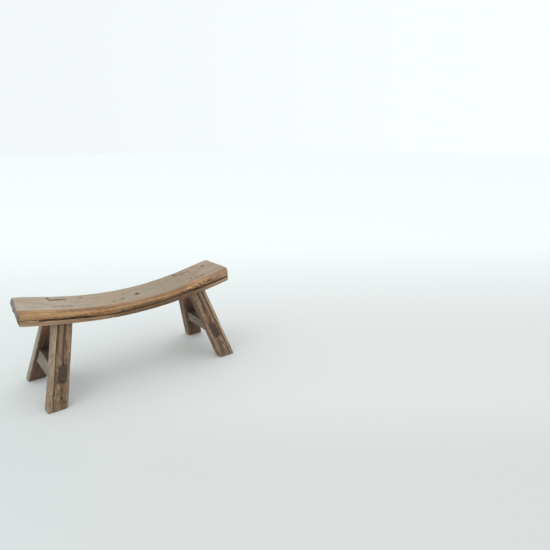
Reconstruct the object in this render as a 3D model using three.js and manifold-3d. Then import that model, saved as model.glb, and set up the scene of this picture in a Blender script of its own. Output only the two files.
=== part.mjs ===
// Joined wooden headrest: a dished plank carried on two end frames.
// Each end frame is two raked, moulded legs tied by one flat stretcher. Every leg has a tenon that
// runs right through the plank and is spread by a small wedge; every stretcher has a tenon at each
// end that runs right through the leg.
// Millimetres, +X along the plank, +Y across it, +Z up, origin on the floor under the centre.
import * as THREE from "three";
import { mergeVertices } from "three/addons/utils/BufferGeometryUtils.js";
import Module from "manifold-3d";

// ---- driving dimensions -------------------------------------------------------------------------
const PLANK_LENGTH = 360; // chord of the top surface
const PLANK_WIDTH = 84;
const PLANK_THICK_MID = 20.5; // square to the surface, at mid length
const PLANK_THICK_GAIN = 4.7; // the ends are left this much thicker
const TOP_MID_Z = 138.5; // top surface at mid length
const DISH_RISE = 26.0; // rise from mid length to the ends
const DISH_QUARTIC = -3.0; // makes the dish slightly flatter towards the ends
const CORNER_RADIUS = 6; // in plan
const GROOVE_DEPTH = 2.6; // scratch-stock groove along both long edges
const BEAD_RELIEF = 0.9;

const LEG_WIDTH = 30.5; // along X
const LEG_THICK = 19.6; // along Y
const LEG_TOP_X = 122.0; // leg axis where it meets the underside of the plank
const LEG_TOP_Y = 24.0;
const LEG_TOP_Z = 128.0;
const LEG_FOOT_X = 156.8; // leg axis on the floor
const LEG_FOOT_Y = 64.0;
const LEG_GROOVE_DEPTH = 2.0;
const TENON_WIDTH = 28.5; // along X
const TENON_THICK = 8.4; // along Y

const STRETCHER_Z0 = 41.0; // lower edge
const STRETCHER_Z1 = 64.0; // upper edge
const STRETCHER_U0 = -12.0; // outer side, from the leg's centre line, towards the plank's end
const STRETCHER_U1 = 9.5; // inner side, towards mid length
const STRETCHER_TENON_U0 = -3.0;
const STRETCHER_TENON_U1 = 8.0;

const WEDGE_TOP = 2.6; // along X
const WEDGE_TIP = 0.9;
const WEDGE_DEPTH = 15;
const GAP = 0.3; // clearance between mating pieces

const RAKE_X = (LEG_FOOT_X - LEG_TOP_X) / LEG_TOP_Z;
const RAKE_Y = (LEG_FOOT_Y - LEG_TOP_Y) / LEG_TOP_Z;

// ---- solids -------------------------------------------------------------------------------------
const wasm = await Module();
wasm.setup();

function toSolid(geometry) {
  const g = geometry.clone();
  g.deleteAttribute("normal");
  g.deleteAttribute("uv");
  const m = mergeVertices(g, 1e-4);
  return new wasm.Manifold(
    new wasm.Mesh({
      numProp: 3,
      vertProperties: m.attributes.position.array,
      triVerts: new Uint32Array(m.index.array),
    }),
  );
}

function toGeometry(solid) {
  const m = solid.getMesh();
  const v = new Float32Array(m.numVert * 3);
  for (let i = 0; i < m.numVert; i++)
    v.set(m.vertProperties.subarray(i * m.numProp, i * m.numProp + 3), i * 3);
  return new THREE.BufferGeometry()
    .setAttribute("position", new THREE.BufferAttribute(v, 3))
    .setIndex(new THREE.BufferAttribute(new Uint32Array(m.triVerts), 1));
}

// moves every vertex of a geometry by a function
function bend(geometry, fn) {
  const p = geometry.attributes.position;
  const v = new THREE.Vector3();
  for (let i = 0; i < p.count; i++) {
    v.fromBufferAttribute(p, i);
    fn(v);
    p.setXYZ(i, v.x, v.y, v.z);
  }
  return geometry;
}

// turns every face over, for a geometry that was mirrored by its mapping
function turnFaces(geometry) {
  const p = geometry.attributes.position;
  const a = new THREE.Vector3();
  const b = new THREE.Vector3();
  for (let i = 0; i < p.count; i += 3) {
    a.fromBufferAttribute(p, i + 1);
    b.fromBufferAttribute(p, i + 2);
    p.setXYZ(i + 1, b.x, b.y, b.z);
    p.setXYZ(i + 2, a.x, a.y, a.z);
  }
  return geometry;
}

function outline(points) {
  return new THREE.Shape(points.map(([x, y]) => new THREE.Vector2(x, y)));
}

// ---- plank --------------------------------------------------------------------------------------
const HALF = PLANK_LENGTH / 2;
const topZ = (x) => {
  const u = x / HALF;
  return TOP_MID_Z + DISH_RISE * u * u + DISH_QUARTIC * (u ** 4 - u * u);
};
const topSlope = (x) => {
  const u = x / HALF;
  return (2 * DISH_RISE * u + DISH_QUARTIC * (4 * u ** 3 - 2 * u)) / HALF;
};
const thickness = (x) => PLANK_THICK_MID + PLANK_THICK_GAIN * (x / HALF) ** 2;

// A point of the plank at station x, at a share w of the thickness below the top surface.
function plankPoint(x, y, w, extra = 0) {
  const s = topSlope(x);
  const n = Math.hypot(1, s);
  const off = w * thickness(x) + extra;
  return [x + (off * s) / n, y, topZ(x) - off / n];
}

// Half section of one long edge: [inset from the edge, share of the thickness], top to bottom.
const EDGE = [
  [5.5, 0],
  [2.6, 0.02],
  [0.9, 0.075],
  [0.1, 0.17],
  [0, 0.3],
  [0.15, 0.46],
  [0.6, 0.525],
  [GROOVE_DEPTH, 0.585],
  [BEAD_RELIEF, 0.645],
  [0.4, 0.72],
  [0.5, 0.8],
  [1.3, 0.825],
  [0.6, 0.86],
  [0.5, 0.94],
  [1.8, 1],
];

// The straight plank before it is laid on the curve: x along it, y across it, z = minus the share
// of the thickness. Its corners are rounded in plan.
function straightPlank() {
  const h = PLANK_WIDTH / 2;
  const left = EDGE.map(([i, w]) => [-h + i, w]);
  const right = EDGE.map(([i, w]) => [h - i, w]).reverse();
  const section = new THREE.ExtrudeGeometry(outline([...left, ...right]), {
    depth: PLANK_LENGTH,
    steps: 48,
    bevelEnabled: false,
  });
  bend(section, (v) => v.set(HALF - v.z, v.x, -v.y));

  const r = CORNER_RADIUS;
  const plan = new THREE.Shape();
  plan.moveTo(-HALF + r, -h - 1e-3);
  plan.lineTo(HALF - r, -h - 1e-3);
  plan.absarc(HALF - r, -h + r, r, -Math.PI / 2, 0, false);
  plan.lineTo(HALF, h - r);
  plan.absarc(HALF - r, h - r, r, 0, Math.PI / 2, false);
  plan.lineTo(-HALF + r, h + 1e-3);
  plan.absarc(-HALF + r, h - r, r, Math.PI / 2, Math.PI, false);
  plan.lineTo(-HALF, -h + r);
  plan.absarc(-HALF + r, -h + r, r, Math.PI, Math.PI * 1.5, false);
  const blank = new THREE.ExtrudeGeometry(plan, {
    depth: 3,
    steps: 1,
    curveSegments: 5,
    bevelEnabled: false,
  });
  bend(blank, (v) => v.set(v.x, v.y, v.z - 2));
  return toSolid(section).intersect(toSolid(blank));
}

function plankSolid() {
  const g = toGeometry(straightPlank());
  return toSolid(bend(g, (v) => v.set(...plankPoint(v.x, v.y, -v.z))));
}

// A block that fills everything above the underside of the plank, lowered by a clearance.
function aboveUnderside(clearance) {
  const pts = [];
  const n = 72;
  for (let i = 0; i <= n; i++) {
    const x = -HALF + (PLANK_LENGTH * i) / n;
    const [px, , pz] = plankPoint(x, 0, 1, clearance);
    pts.push([px, pz]);
  }
  pts.push([HALF + 60, 400], [-HALF - 60, 400]);
  return slabXZ(pts);
}

// A block that fills everything above the top surface of the plank.
function aboveTop(clearance) {
  const pts = [];
  const n = 96;
  for (let i = 0; i <= n; i++) {
    const x = -HALF + (PLANK_LENGTH * i) / n;
    const [px, , pz] = plankPoint(x, 0, 0, clearance);
    pts.push([px, pz]);
  }
  pts.push([HALF + 60, 400], [-HALF - 60, 400]);
  return slabXZ(pts);
}

// an outline in X and Z, carried 400 mm across in Y
function slabXZ(points) {
  const g = new THREE.ExtrudeGeometry(outline(points), {
    depth: 400,
    steps: 1,
    bevelEnabled: false,
  });
  // (x, z, depth) to (x, y, z) without mirroring
  bend(g, (v) => v.set(v.x, 200 - v.z, v.y));
  return toSolid(g);
}

// ---- raked prisms -------------------------------------------------------------------------------
// sx is -1 at the left end and +1 at the right; sy is -1 at the front and +1 at the back.
// u runs from the leg's centre line towards mid length, t from the outer face of the leg inwards.
function rakedPrism(points, z0, z1, sx, sy) {
  const g = new THREE.ExtrudeGeometry(outline(points), {
    depth: z1 - z0,
    steps: 1,
    bevelEnabled: false,
  });
  bend(g, (v) => {
    const z = z0 + v.z;
    const cx = sx * (LEG_FOOT_X - RAKE_X * z);
    const cy = sy * (LEG_FOOT_Y - RAKE_Y * z);
    v.set(cx - sx * v.x, cy - sy * v.y, z);
  });
  // both signs the same is a half turn; one sign alone is a mirror image
  return toSolid(sx * sy < 0 ? turnFaces(g) : g);
}

const LW = LEG_WIDTH / 2;
const LT = LEG_THICK / 2;
const GD = LEG_GROOVE_DEPTH;
// Section of a leg. The outer face (t = -LT) carries two scratched grooves that leave an edge bead,
// a middle bead and a broad flat.
const LEG_SECTION = [
  [-LW, LT - 1.2],
  [-LW, -LT + 2.4],
  [-LW + 0.7, -LT + 0.8],
  [-LW + 2.4, -LT],
  [-LW + 4.6, -LT + 0.2],
  [-LW + 5.8, -LT + 0.8],
  [-8.6, -LT + GD],
  [-7.4, -LT + 0.8],
  [-5.4, -LT + 0.1],
  [-2.6, -LT],
  [0.0, -LT + 0.2],
  [1.1, -LT + 0.8],
  [2.2, -LT + GD],
  [3.4, -LT + 0.7],
  [5.4, -LT + 0.15],
  [LW - 2.6, -LT],
  [LW - 0.7, -LT + 0.7],
  [LW, -LT + 2.4],
  [LW, LT - 1.2],
  [LW - 1.2, LT],
  [-LW + 1.2, LT],
];
const rect = (u0, u1, t0, t1) => [
  [u0, t0],
  [u1, t0],
  [u1, t1],
  [u0, t1],
];

const underside = aboveUnderside(GAP);
const surface = aboveTop(0);

function wedgeShape(extra) {
  // outline of the wedge in u and height, measured down from the top surface
  return { top: WEDGE_TOP / 2 + extra, tip: WEDGE_TIP / 2 + extra, depth: WEDGE_DEPTH + extra };
}

// A wedge, or the kerf it sits in, runs through the tenon's full thickness and follows its rake.
function wedgeSolid(sx, sy, extra) {
  const s = wedgeShape(extra);
  const zTop = 175;
  const zSurface = topZ(LEG_TOP_X - RAKE_X * PLANK_THICK_MID);
  const zTip = zSurface - s.depth;
  const rate = (s.top - s.tip) / s.depth;
  const halfAt = (z) => s.tip + rate * (z - zTip);
  const half = TENON_THICK / 2 + (extra ? 2 : -0.2);
  const g = new THREE.ExtrudeGeometry(outline(rect(-1, 1, -half, half)), {
    depth: zTop - zTip,
    steps: 1,
    bevelEnabled: false,
  });
  bend(g, (v) => {
    const z = zTip + v.z;
    const u = v.x * halfAt(z);
    const cx = sx * (LEG_FOOT_X - RAKE_X * z);
    const cy = sy * (LEG_FOOT_Y - RAKE_Y * z);
    v.set(cx - sx * u, cy - sy * v.y, z);
  });
  return toSolid(sx * sy < 0 ? turnFaces(g) : g);
}

function legSolid(sx, sy) {
  const body = rakedPrism(LEG_SECTION, 0, 170, sx, sy).subtract(underside);
  const tw = TENON_WIDTH / 2;
  const tt = TENON_THICK / 2;
  const tenon = rakedPrism(rect(-tw, tw, -tt, tt), 100, 175, sx, sy)
    .subtract(surface)
    .subtract(wedgeSolid(sx, sy, GAP));
  const mortise = rakedPrism(
    rect(
      STRETCHER_TENON_U0 - GAP,
      STRETCHER_TENON_U1 + GAP,
      -LT - 3,
      LT + 3,
    ),
    STRETCHER_Z0 - GAP,
    STRETCHER_Z1 + GAP,
    sx,
    sy,
  );
  return body.add(tenon).subtract(mortise);
}

// A stretcher ties the two legs of one end. Its sides follow the rake of the end frame.
function stretcherSolid(sx) {
  const yAt = (z) => LEG_FOOT_Y - RAKE_Y * z; // leg axis
  const bar = (u0, u1, z0, z1, tOut) => {
    const g = new THREE.ExtrudeGeometry(outline(rect(-1, 1, z0, z1)), {
      depth: 1,
      steps: 1,
      bevelEnabled: false,
    });
    bend(g, (v) => {
      const z = v.y;
      const u = v.z < 0.5 ? u1 : u0;
      const y = v.x * (yAt(z) - tOut);
      v.set(sx * (LEG_FOOT_X - RAKE_X * z - u), y, z);
    });
    return toSolid(sx < 0 ? turnFaces(g) : g);
  };
  const middle = bar(STRETCHER_U0, STRETCHER_U1, STRETCHER_Z0, STRETCHER_Z1, LT + GAP);
  const tenons = bar(
    STRETCHER_TENON_U0,
    STRETCHER_TENON_U1,
    STRETCHER_Z0,
    STRETCHER_Z1,
    -LT,
  );
  return middle.add(tenons);
}

// ---- assembly -----------------------------------------------------------------------------------
const plankWood = new THREE.MeshStandardMaterial({ color: 0xa6957f, roughness: 0.62, metalness: 0 });
const legWood = new THREE.MeshStandardMaterial({ color: 0x80694f, roughness: 0.7, metalness: 0 });
const stretcherWood = new THREE.MeshStandardMaterial({ color: 0x7d7265, roughness: 0.75, metalness: 0 });
const wedgeWood = new THREE.MeshStandardMaterial({ color: 0x4d4035, roughness: 0.8, metalness: 0 });

const headrest = new THREE.Group();
function piece(name, solid, material) {
  const mesh = new THREE.Mesh(toGeometry(solid), material);
  mesh.name = name;
  headrest.add(mesh);
}

const CORNERS = [
  ["front_left", -1, -1],
  ["back_left", -1, 1],
  ["front_right", 1, -1],
  ["back_right", 1, 1],
];

let plank = plankSolid();
for (const [, sx, sy] of CORNERS) {
  const w = TENON_WIDTH / 2 + GAP;
  const t = TENON_THICK / 2 + GAP;
  plank = plank.subtract(rakedPrism(rect(-w, w, -t, t), 90, 190, sx, sy));
}
piece("headrest_plank", plank, plankWood);
for (const [name, sx, sy] of CORNERS) {
  piece("leg_" + name, legSolid(sx, sy), legWood);
  piece("tenon_wedge_" + name, wedgeSolid(sx, sy, 0).subtract(surface), wedgeWood);
}
piece("stretcher_left", stretcherSolid(-1), stretcherWood);
piece("stretcher_right", stretcherSolid(1), stretcherWood);

export default headrest;
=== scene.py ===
import math

import bpy
import numpy as np
from mathutils import Matrix, Vector


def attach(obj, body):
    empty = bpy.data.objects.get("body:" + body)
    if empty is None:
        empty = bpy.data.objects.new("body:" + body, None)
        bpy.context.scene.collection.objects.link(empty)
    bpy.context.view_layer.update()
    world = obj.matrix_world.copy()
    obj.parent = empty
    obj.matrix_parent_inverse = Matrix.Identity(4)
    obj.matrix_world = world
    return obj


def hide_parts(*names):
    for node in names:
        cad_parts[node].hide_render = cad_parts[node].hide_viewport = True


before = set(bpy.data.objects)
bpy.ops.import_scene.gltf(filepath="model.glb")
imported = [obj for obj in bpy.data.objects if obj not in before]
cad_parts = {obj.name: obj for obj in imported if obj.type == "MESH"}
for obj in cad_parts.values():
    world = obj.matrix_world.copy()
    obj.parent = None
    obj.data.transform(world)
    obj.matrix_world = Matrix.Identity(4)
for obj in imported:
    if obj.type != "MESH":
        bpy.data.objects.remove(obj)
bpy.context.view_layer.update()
MM = 0.001

# ------------------------------------------------------------------------------------------------
# Camera: it stands in front of the left half of the headrest and a little above it.
# ------------------------------------------------------------------------------------------------
PITCH, YAW, ROLL = math.radians(17.727), math.radians(37.30), math.radians(-0.28)
LENS_PX, FRAME_PX = 495.8, 550.0
CAM_POS = Vector((-0.29640, -0.82160, 0.44137))


def make_camera():
    data = bpy.data.cameras.new("camera")
    cam = bpy.data.objects.new("camera", data)
    bpy.context.scene.collection.objects.link(cam)
    fwd = Vector((math.sin(YAW) * math.cos(PITCH), math.cos(YAW) * math.cos(PITCH), -math.sin(PITCH)))
    right = Vector((math.cos(YAW), -math.sin(YAW), 0.0))
    down = fwd.cross(right)
    if down.z > 0:
        down.negate()
    c, s = math.cos(ROLL), math.sin(ROLL)
    r2 = c * right - s * down
    d2 = s * right + c * down
    m = Matrix((r2, -d2, -fwd)).transposed().to_4x4()
    m.translation = CAM_POS
    cam.matrix_world = m
    data.sensor_fit = "HORIZONTAL"
    data.sensor_width = 36.0
    data.lens = LENS_PX / FRAME_PX * 36.0
    data.clip_start, data.clip_end = 0.05, 50.0
    bpy.context.scene.camera = cam
    return cam


make_camera()

# ------------------------------------------------------------------------------------------------
# Dimensions, in millimetres, as in the CAD model.
# ------------------------------------------------------------------------------------------------
HALF, WIDTH = 180.0, 84.0
HW = WIDTH / 2
TOP_MID_Z, DISH, QUARTIC = 138.5, 26.0, -3.0
T_MID, T_GAIN = 20.5, 4.7
LEG_W, LEG_T = 30.5, 19.6
FOOT_X, FOOT_Y, LEGTOP_X, LEGTOP_Y, LEGTOP_Z = 156.8, 64.0, 122.0, 24.0, 128.0
RAKE_X, RAKE_Y = (FOOT_X - LEGTOP_X) / LEGTOP_Z, (FOOT_Y - LEGTOP_Y) / LEGTOP_Z
TENON_W, TENON_T = 28.5, 8.4
ST_Z0, ST_Z1, ST_U0, ST_U1, ST_TU0, ST_TU1 = 41.0, 64.0, -12.0, 9.5, -3.0, 8.0
WEDGE_TOP, WEDGE_TIP, WEDGE_DEPTH = 2.6, 0.9, 15.0
GAP = 0.3


def top_z(x):
    u = x / HALF
    return TOP_MID_Z + DISH * u**2 + QUARTIC * (u**4 - u**2)


def top_slope(x):
    u = x / HALF
    return (2 * DISH * u + QUARTIC * (4 * u**3 - 2 * u)) / HALF


def thick(x):
    return T_MID + T_GAIN * (x / HALF) ** 2


def on_plank(x, y, d):
    """A point d below the plank's top surface at station x, square to that surface."""
    s = top_slope(x)
    n = np.sqrt(1 + s * s)
    return np.stack([x + d * s / n, y + 0 * x, top_z(x) - d / n], -1)


# ------------------------------------------------------------------------------------------------
# Noise, vectorised and seeded by its position only.
# ------------------------------------------------------------------------------------------------
def _hash(ix, iy, iz, seed):
    with np.errstate(over="ignore"):
        h = (
            ix.astype(np.uint32) * np.uint32(73856093)
            ^ iy.astype(np.uint32) * np.uint32(19349663)
            ^ iz.astype(np.uint32) * np.uint32(83492791)
            ^ np.uint32((seed * 2654435761) & 0xFFFFFFFF)
        )
        h ^= h >> np.uint32(13)
        h *= np.uint32(0x5BD1E995)
        h ^= h >> np.uint32(15)
        h *= np.uint32(0x27D4EB2D)
        h ^= h >> np.uint32(13)
    return h.astype(np.float64) / 4294967295.0


def noise(p, size, seed=0):
    """Smooth value noise from -1 to 1. size is the feature size along each axis."""
    q = np.asarray(p, float) / np.asarray(size, float) + 1000.5
    i = np.floor(q).astype(np.int64)
    f = q - i
    f = f * f * f * (f * (f * 6 - 15) + 10)
    out = 0.0
    for dx in (0, 1):
        wx = f[..., 0] if dx else 1 - f[..., 0]
        for dy in (0, 1):
            wy = f[..., 1] if dy else 1 - f[..., 1]
            for dz in (0, 1):
                wz = f[..., 2] if dz else 1 - f[..., 2]
                out = out + wx * wy * wz * _hash(i[..., 0] + dx, i[..., 1] + dy, i[..., 2] + dz, seed)
    return out * 2 - 1


def fbm(p, size, seed=0, octaves=3, gain=0.5):
    size = np.asarray(size, float)
    out, amp, tot = 0.0, 1.0, 0.0
    for k in range(octaves):
        out = out + amp * noise(p, size / 2**k, seed + 17 * k)
        tot += amp
        amp *= gain
    return out / tot


def ramp(v, a, b):
    t = np.clip((v - a) / (b - a), 0, 1)
    return t * t * (3 - 2 * t)


def bump_at(d, width):
    """1 at d = 0, falling smoothly to 0 at |d| = width."""
    t = np.clip(1 - np.abs(d) / width, 0, 1)
    return t * t * (3 - 2 * t)


# ------------------------------------------------------------------------------------------------
# Mesh helpers
# ------------------------------------------------------------------------------------------------
def make_mesh(name, verts, faces, attrs=None, smooth=True):
    me = bpy.data.meshes.new(name)
    me.from_pydata((np.asarray(verts) * MM).tolist(), [], [list(map(int, f)) for f in faces])
    for key, val in (attrs or {}).items():
        val = np.asarray(val, np.float32)
        if val.ndim == 2:
            a = me.attributes.new(key, "FLOAT_VECTOR", "POINT")
            a.data.foreach_set("vector", val.ravel())
        else:
            a = me.attributes.new(key, "FLOAT", "POINT")
            a.data.foreach_set("value", val.ravel())
    if smooth:
        me.polygons.foreach_set("use_smooth", [True] * len(me.polygons))
    me.update()
    ob = bpy.data.objects.new(name, me)
    bpy.context.scene.collection.objects.link(ob)
    return ob


def smooth_closed(points, rounds):
    """Corner cutting on a closed outline."""
    p = np.asarray(points, float)
    for _ in range(rounds):
        n = np.roll(p, -1, 0)
        p = np.stack([0.75 * p + 0.25 * n, 0.25 * p + 0.75 * n], 1).reshape(-1, p.shape[1])
    return p


def resample_closed(points, step_fn):
    """Resamples a closed outline so that the local step is step_fn(point)."""
    p = np.asarray(points, float)
    q = np.vstack([p, p[:1]])
    seg = np.linalg.norm(np.diff(q, axis=0), axis=1)
    cost = seg / np.array([step_fn(0.5 * (q[i] + q[i + 1])) for i in range(len(seg))])
    cum = np.concatenate([[0], np.cumsum(cost)])
    n = int(round(cum[-1]))
    t = np.arange(n) * cum[-1] / n
    out = np.stack([np.interp(t, cum, q[:, k]) for k in range(q.shape[1])], 1)
    return out


def grid_normals(P):
    """Normals of a stations x ring grid, closed round the ring."""
    du = np.gradient(P, axis=0)
    dv = (np.roll(P, -1, 1) - np.roll(P, 1, 1)) / 2
    n = np.cross(dv, du)
    return n / np.maximum(np.linalg.norm(n, axis=-1, keepdims=True), 1e-9)


def tube_faces(ns, nr, flip=False):
    i = np.arange(ns - 1)[:, None]
    j = np.arange(nr)[None, :]
    a = i * nr + j
    b = i * nr + (j + 1) % nr
    c = (i + 1) * nr + (j + 1) % nr
    d = (i + 1) * nr + j
    f = np.stack([a, b, c, d], -1).reshape(-1, 4)
    return f[:, ::-1] if flip else f


def boolean(ob, cutter, operation):
    """Applies one boolean at once and drops the cutter."""
    mod = ob.modifiers.new("cut", "BOOLEAN")
    mod.solver = "MANIFOLD"
    mod.operation = operation
    mod.object = cutter
    bpy.context.view_layer.update()
    dg = bpy.context.evaluated_depsgraph_get()
    me = bpy.data.meshes.new_from_object(ob.evaluated_get(dg), depsgraph=dg)
    ob.modifiers.clear()
    old = ob.data
    ob.data = me
    bpy.data.meshes.remove(old)
    bpy.data.objects.remove(cutter)
    return ob


def finish_piece(ob, node, material, angle=42):
    ob.name = node + "_visual"
    ob.data.name = node + "_visual"
    ob.data.materials.clear()
    ob.data.materials.append(material)
    for p in ob.data.polygons:
        p.material_index = 0
    ob.data.polygons.foreach_set("use_smooth", [True] * len(ob.data.polygons))
    ob.data.set_sharp_from_angle(angle=math.radians(angle))
    ob.data.update()
    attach(ob, "root")
    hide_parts(node)
    return ob


# ------------------------------------------------------------------------------------------------
# The raked frame of a leg: u runs from its centre line towards mid length, t from its outer face in.
# ------------------------------------------------------------------------------------------------
def raked(u, t, z, sx, sy):
    u, t, z = np.broadcast_arrays(u, t, z)
    return np.stack([sx * (FOOT_X - RAKE_X * z - u), sy * (FOOT_Y - RAKE_Y * z - t), z + 0.0], -1)


def prism(name, outline, z0, z1, sx, sy):
    """A plain raked prism, used to cut mortises."""
    n = len(outline)
    lo = [raked(u, t, z0, sx, sy) for u, t in outline]
    hi = [raked(u, t, z1, sx, sy) for u, t in outline]
    faces = [tuple(range(n))[::-1], tuple(range(n, 2 * n))]
    faces += [(i, (i + 1) % n, n + (i + 1) % n, n + i) for i in range(n)]
    if sx * sy < 0:
        faces = [f[::-1] for f in faces]
    return make_mesh(name, np.array(lo + hi), faces, smooth=False)


def rect(u0, u1, t0, t1):
    return [(u0, t0), (u1, t0), (u1, t1), (u0, t1)]


def tenon_mark(x, y, sx, sy):
    """Distance from a point of the plank's top to the outline of one mortise, in mm."""
    z = top_z(x)
    u = FOOT_X - RAKE_X * z - sx * x
    t = FOOT_Y - RAKE_Y * z - sy * y
    du, dt = np.abs(u) - (TENON_W / 2 + GAP), np.abs(t) - (TENON_T / 2 + GAP)
    outside = np.hypot(np.maximum(du, 0), np.maximum(dt, 0))
    return np.where((du < 0) & (dt < 0), -np.minimum(-du, -dt), outside)


CORNERS = [("front_left", -1, -1), ("back_left", -1, 1), ("front_right", 1, -1), ("back_right", 1, 1)]

# ------------------------------------------------------------------------------------------------
# Plank
# ------------------------------------------------------------------------------------------------
EDGE = [
    (8.0, 0.0), (5.2, 0.010), (3.1, 0.035), (1.6, 0.075), (0.6, 0.135), (0.1, 0.21), (0.0, 0.31), (0.1, 0.42),
    (0.35, 0.49), (0.9, 0.53), (1.9, 0.553), (2.7, 0.572), (2.8, 0.598), (2.1, 0.63), (1.1, 0.652), (0.55, 0.69),
    (0.4, 0.74), (0.5, 0.785), (0.95, 0.806), (1.4, 0.822), (0.95, 0.838), (0.5, 0.862), (0.4, 0.905),
    (0.7, 0.955), (1.5, 0.985), (3.0, 1.0),
]


def plank_ring():
    left = [(-HW + i, w * 22.0) for i, w in EDGE]
    right = [(HW - i, w * 22.0) for i, w in EDGE][::-1]
    top = [(y, 0.0) for y in np.linspace(26, -26, 9)]
    low = [(y, 22.0) for y in np.linspace(-30, 30, 9)]
    ring = smooth_closed(left + low + right + top, 2)

    def step(p):
        if abs(p[0]) > HW - 7:
            return 0.42
        return 1.05 if p[1] < 11 else 2.0

    return resample_closed(ring, step)


def stations():
    s = [0.0, 0.12, 0.3, 0.55, 0.85, 1.2, 1.6, 2.1, 2.7, 3.4, 4.2, 5.1, 6.1]
    mid = np.linspace(-HALF + 7.1, HALF - 7.1, 331)
    return np.concatenate([-HALF + np.array(s), mid, (HALF - np.array(s))[::-1]])


# how far the dark crack beside each tenon reaches, from the tenon's middle, towards -x and +x
CRACKS = {(-1, -1): (-13, 21), (-1, 1): (-8, 26), (1, -1): (-13, 6), (1, 1): (-13, 16)}

# x, y, half length, half width, depth: knot holes, worm holes and dents in the top
PITS = [
    (16.0, -2.0, 5.0, 4.2, 3.0, 1.0), (11.5, -5.5, 3.6, 2.0, 1.0, 0.7), (-14.0, -10.0, 3.6, 3.2, 1.8, 1.0),
    (-19.5, -13.5, 3.6, 1.8, 0.5, 0.6), (-32.0, -16.0, 3.4, 3.2, 0.6, 0.6), (-76.0, 23.0, 5.4, 3.0, 0.6, 0.6),
    (-128.3, 26.5, 3.0, 4.4, 1.5, 1.0), (159.0, 16.0, 3.0, 3.4, 1.8, 1.0), (68.0, 23.0, 3.6, 2.4, 0.5, 0.4),
    (56.0, 33.0, 3.8, 2.2, 0.5, 0.4), (102.5, 26.5, 3.4, 3.2, 1.2, 1.0), (139.0, -21.0, 4.6, 2.4, 0.7, 0.8),
    (98.0, 2.0, 2.6, 2.2, 0.5, 0.35), (-4.0, 13.0, 3.0, 2.8, 0.5, 0.55), (-52.0, 4.0, 2.8, 2.2, 0.4, 0.3),
    (-88.0, 2.0, 6.0, 2.4, 0.4, 0.4), (132.0, -22.0, 3.0, 1.8, 0.5, 0.5),
]


# How the scratched groove of the front edge wanders: station, its height as a share of the
# thickness, its half width, and how dirty it is.
GROOVE = np.array([
    (-190, 0.62, 0.040, 0.60), (-172, 0.635, 0.045, 0.70), (-158, 0.63, 0.070, 0.95), (-150, 0.62, 0.100, 1.00), (-141, 0.595, 0.085, 1.00),
    (-126, 0.595, 0.085, 1.00), (-111, 0.575, 0.090, 1.00), (-96, 0.55, 0.115, 1.00), (-84, 0.58, 0.100, 1.00), (-72, 0.62, 0.070, 1.00),
    (-62, 0.635, 0.055, 0.85), (-50, 0.655, 0.062, 1.00), (-40, 0.655, 0.062, 0.95), (-30, 0.63, 0.060, 0.70), (-19, 0.61, 0.070, 0.55),
    (0, 0.60, 0.065, 0.50), (30, 0.57, 0.055, 0.40), (60, 0.55, 0.060, 0.55), (85, 0.53, 0.085, 0.60), (100, 0.53, 0.090, 0.60),
    (115, 0.56, 0.095, 0.90), (133, 0.605, 0.080, 0.88), (154, 0.63, 0.075, 1.00), (177, 0.67, 0.060, 0.95), (190, 0.68, 0.055, 0.95),
])
# chips out of the lip above it: station, share of the thickness, half length, half height, depth
LIP_CHIPS = [
    (84, 0.34, 3.2, 0.10, 1.0), (92, 0.26, 2.4, 0.09, 1.1), (99, 0.36, 3.0, 0.12, 1.3), (106, 0.24, 2.2, 0.10, 1.1), (112, 0.34, 2.8, 0.12, 1.5),
    (119, 0.22, 2.0, 0.08, 0.9), (124, 0.38, 2.6, 0.10, 1.2), (131, 0.26, 2.6, 0.12, 1.5), (139, 0.32, 2.2, 0.11, 1.3), (147, 0.42, 2.6, 0.08, 0.8),
    (154, 0.36, 1.6, 0.07, 0.9), (-131, 0.46, 4.0, 0.06, 0.7), (-88, 0.36, 3.0, 0.07, 0.6), (-66, 0.42, 3.4, 0.08, 0.8), (-78, 0.30, 2.2, 0.06, 0.5),
    (-27, 0.50, 5.0, 0.09, 0.9), (-8, 0.47, 4.0, 0.08, 0.8),
]


def warp(P, x, y, w):
    """What hand work and age did to the plank. The ends are sawn nearly plumb in front and short
    behind, and the back edge stands up a little, most of all at the left."""
    end = ramp(np.abs(x), 136, 180)
    fr = ramp(-y, -36, 38)
    left = -5.5 * fr * (1 - w) + 4.6 * ramp(w, 0.30, 1.0) * (1 - fr)
    right = (1.4 + 3.9 * fr) * (1 - w)
    P = np.array(P, float)
    P[..., 0] += np.where(x < 0, left, right) * end
    P[..., 2] += 1.7 * ramp(y, -16, 40) * (0.55 + 0.45 * ramp(-x, -60, 150)) * (1 - 0.93 * ramp(np.abs(x), 160, 180))
    return P


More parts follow.
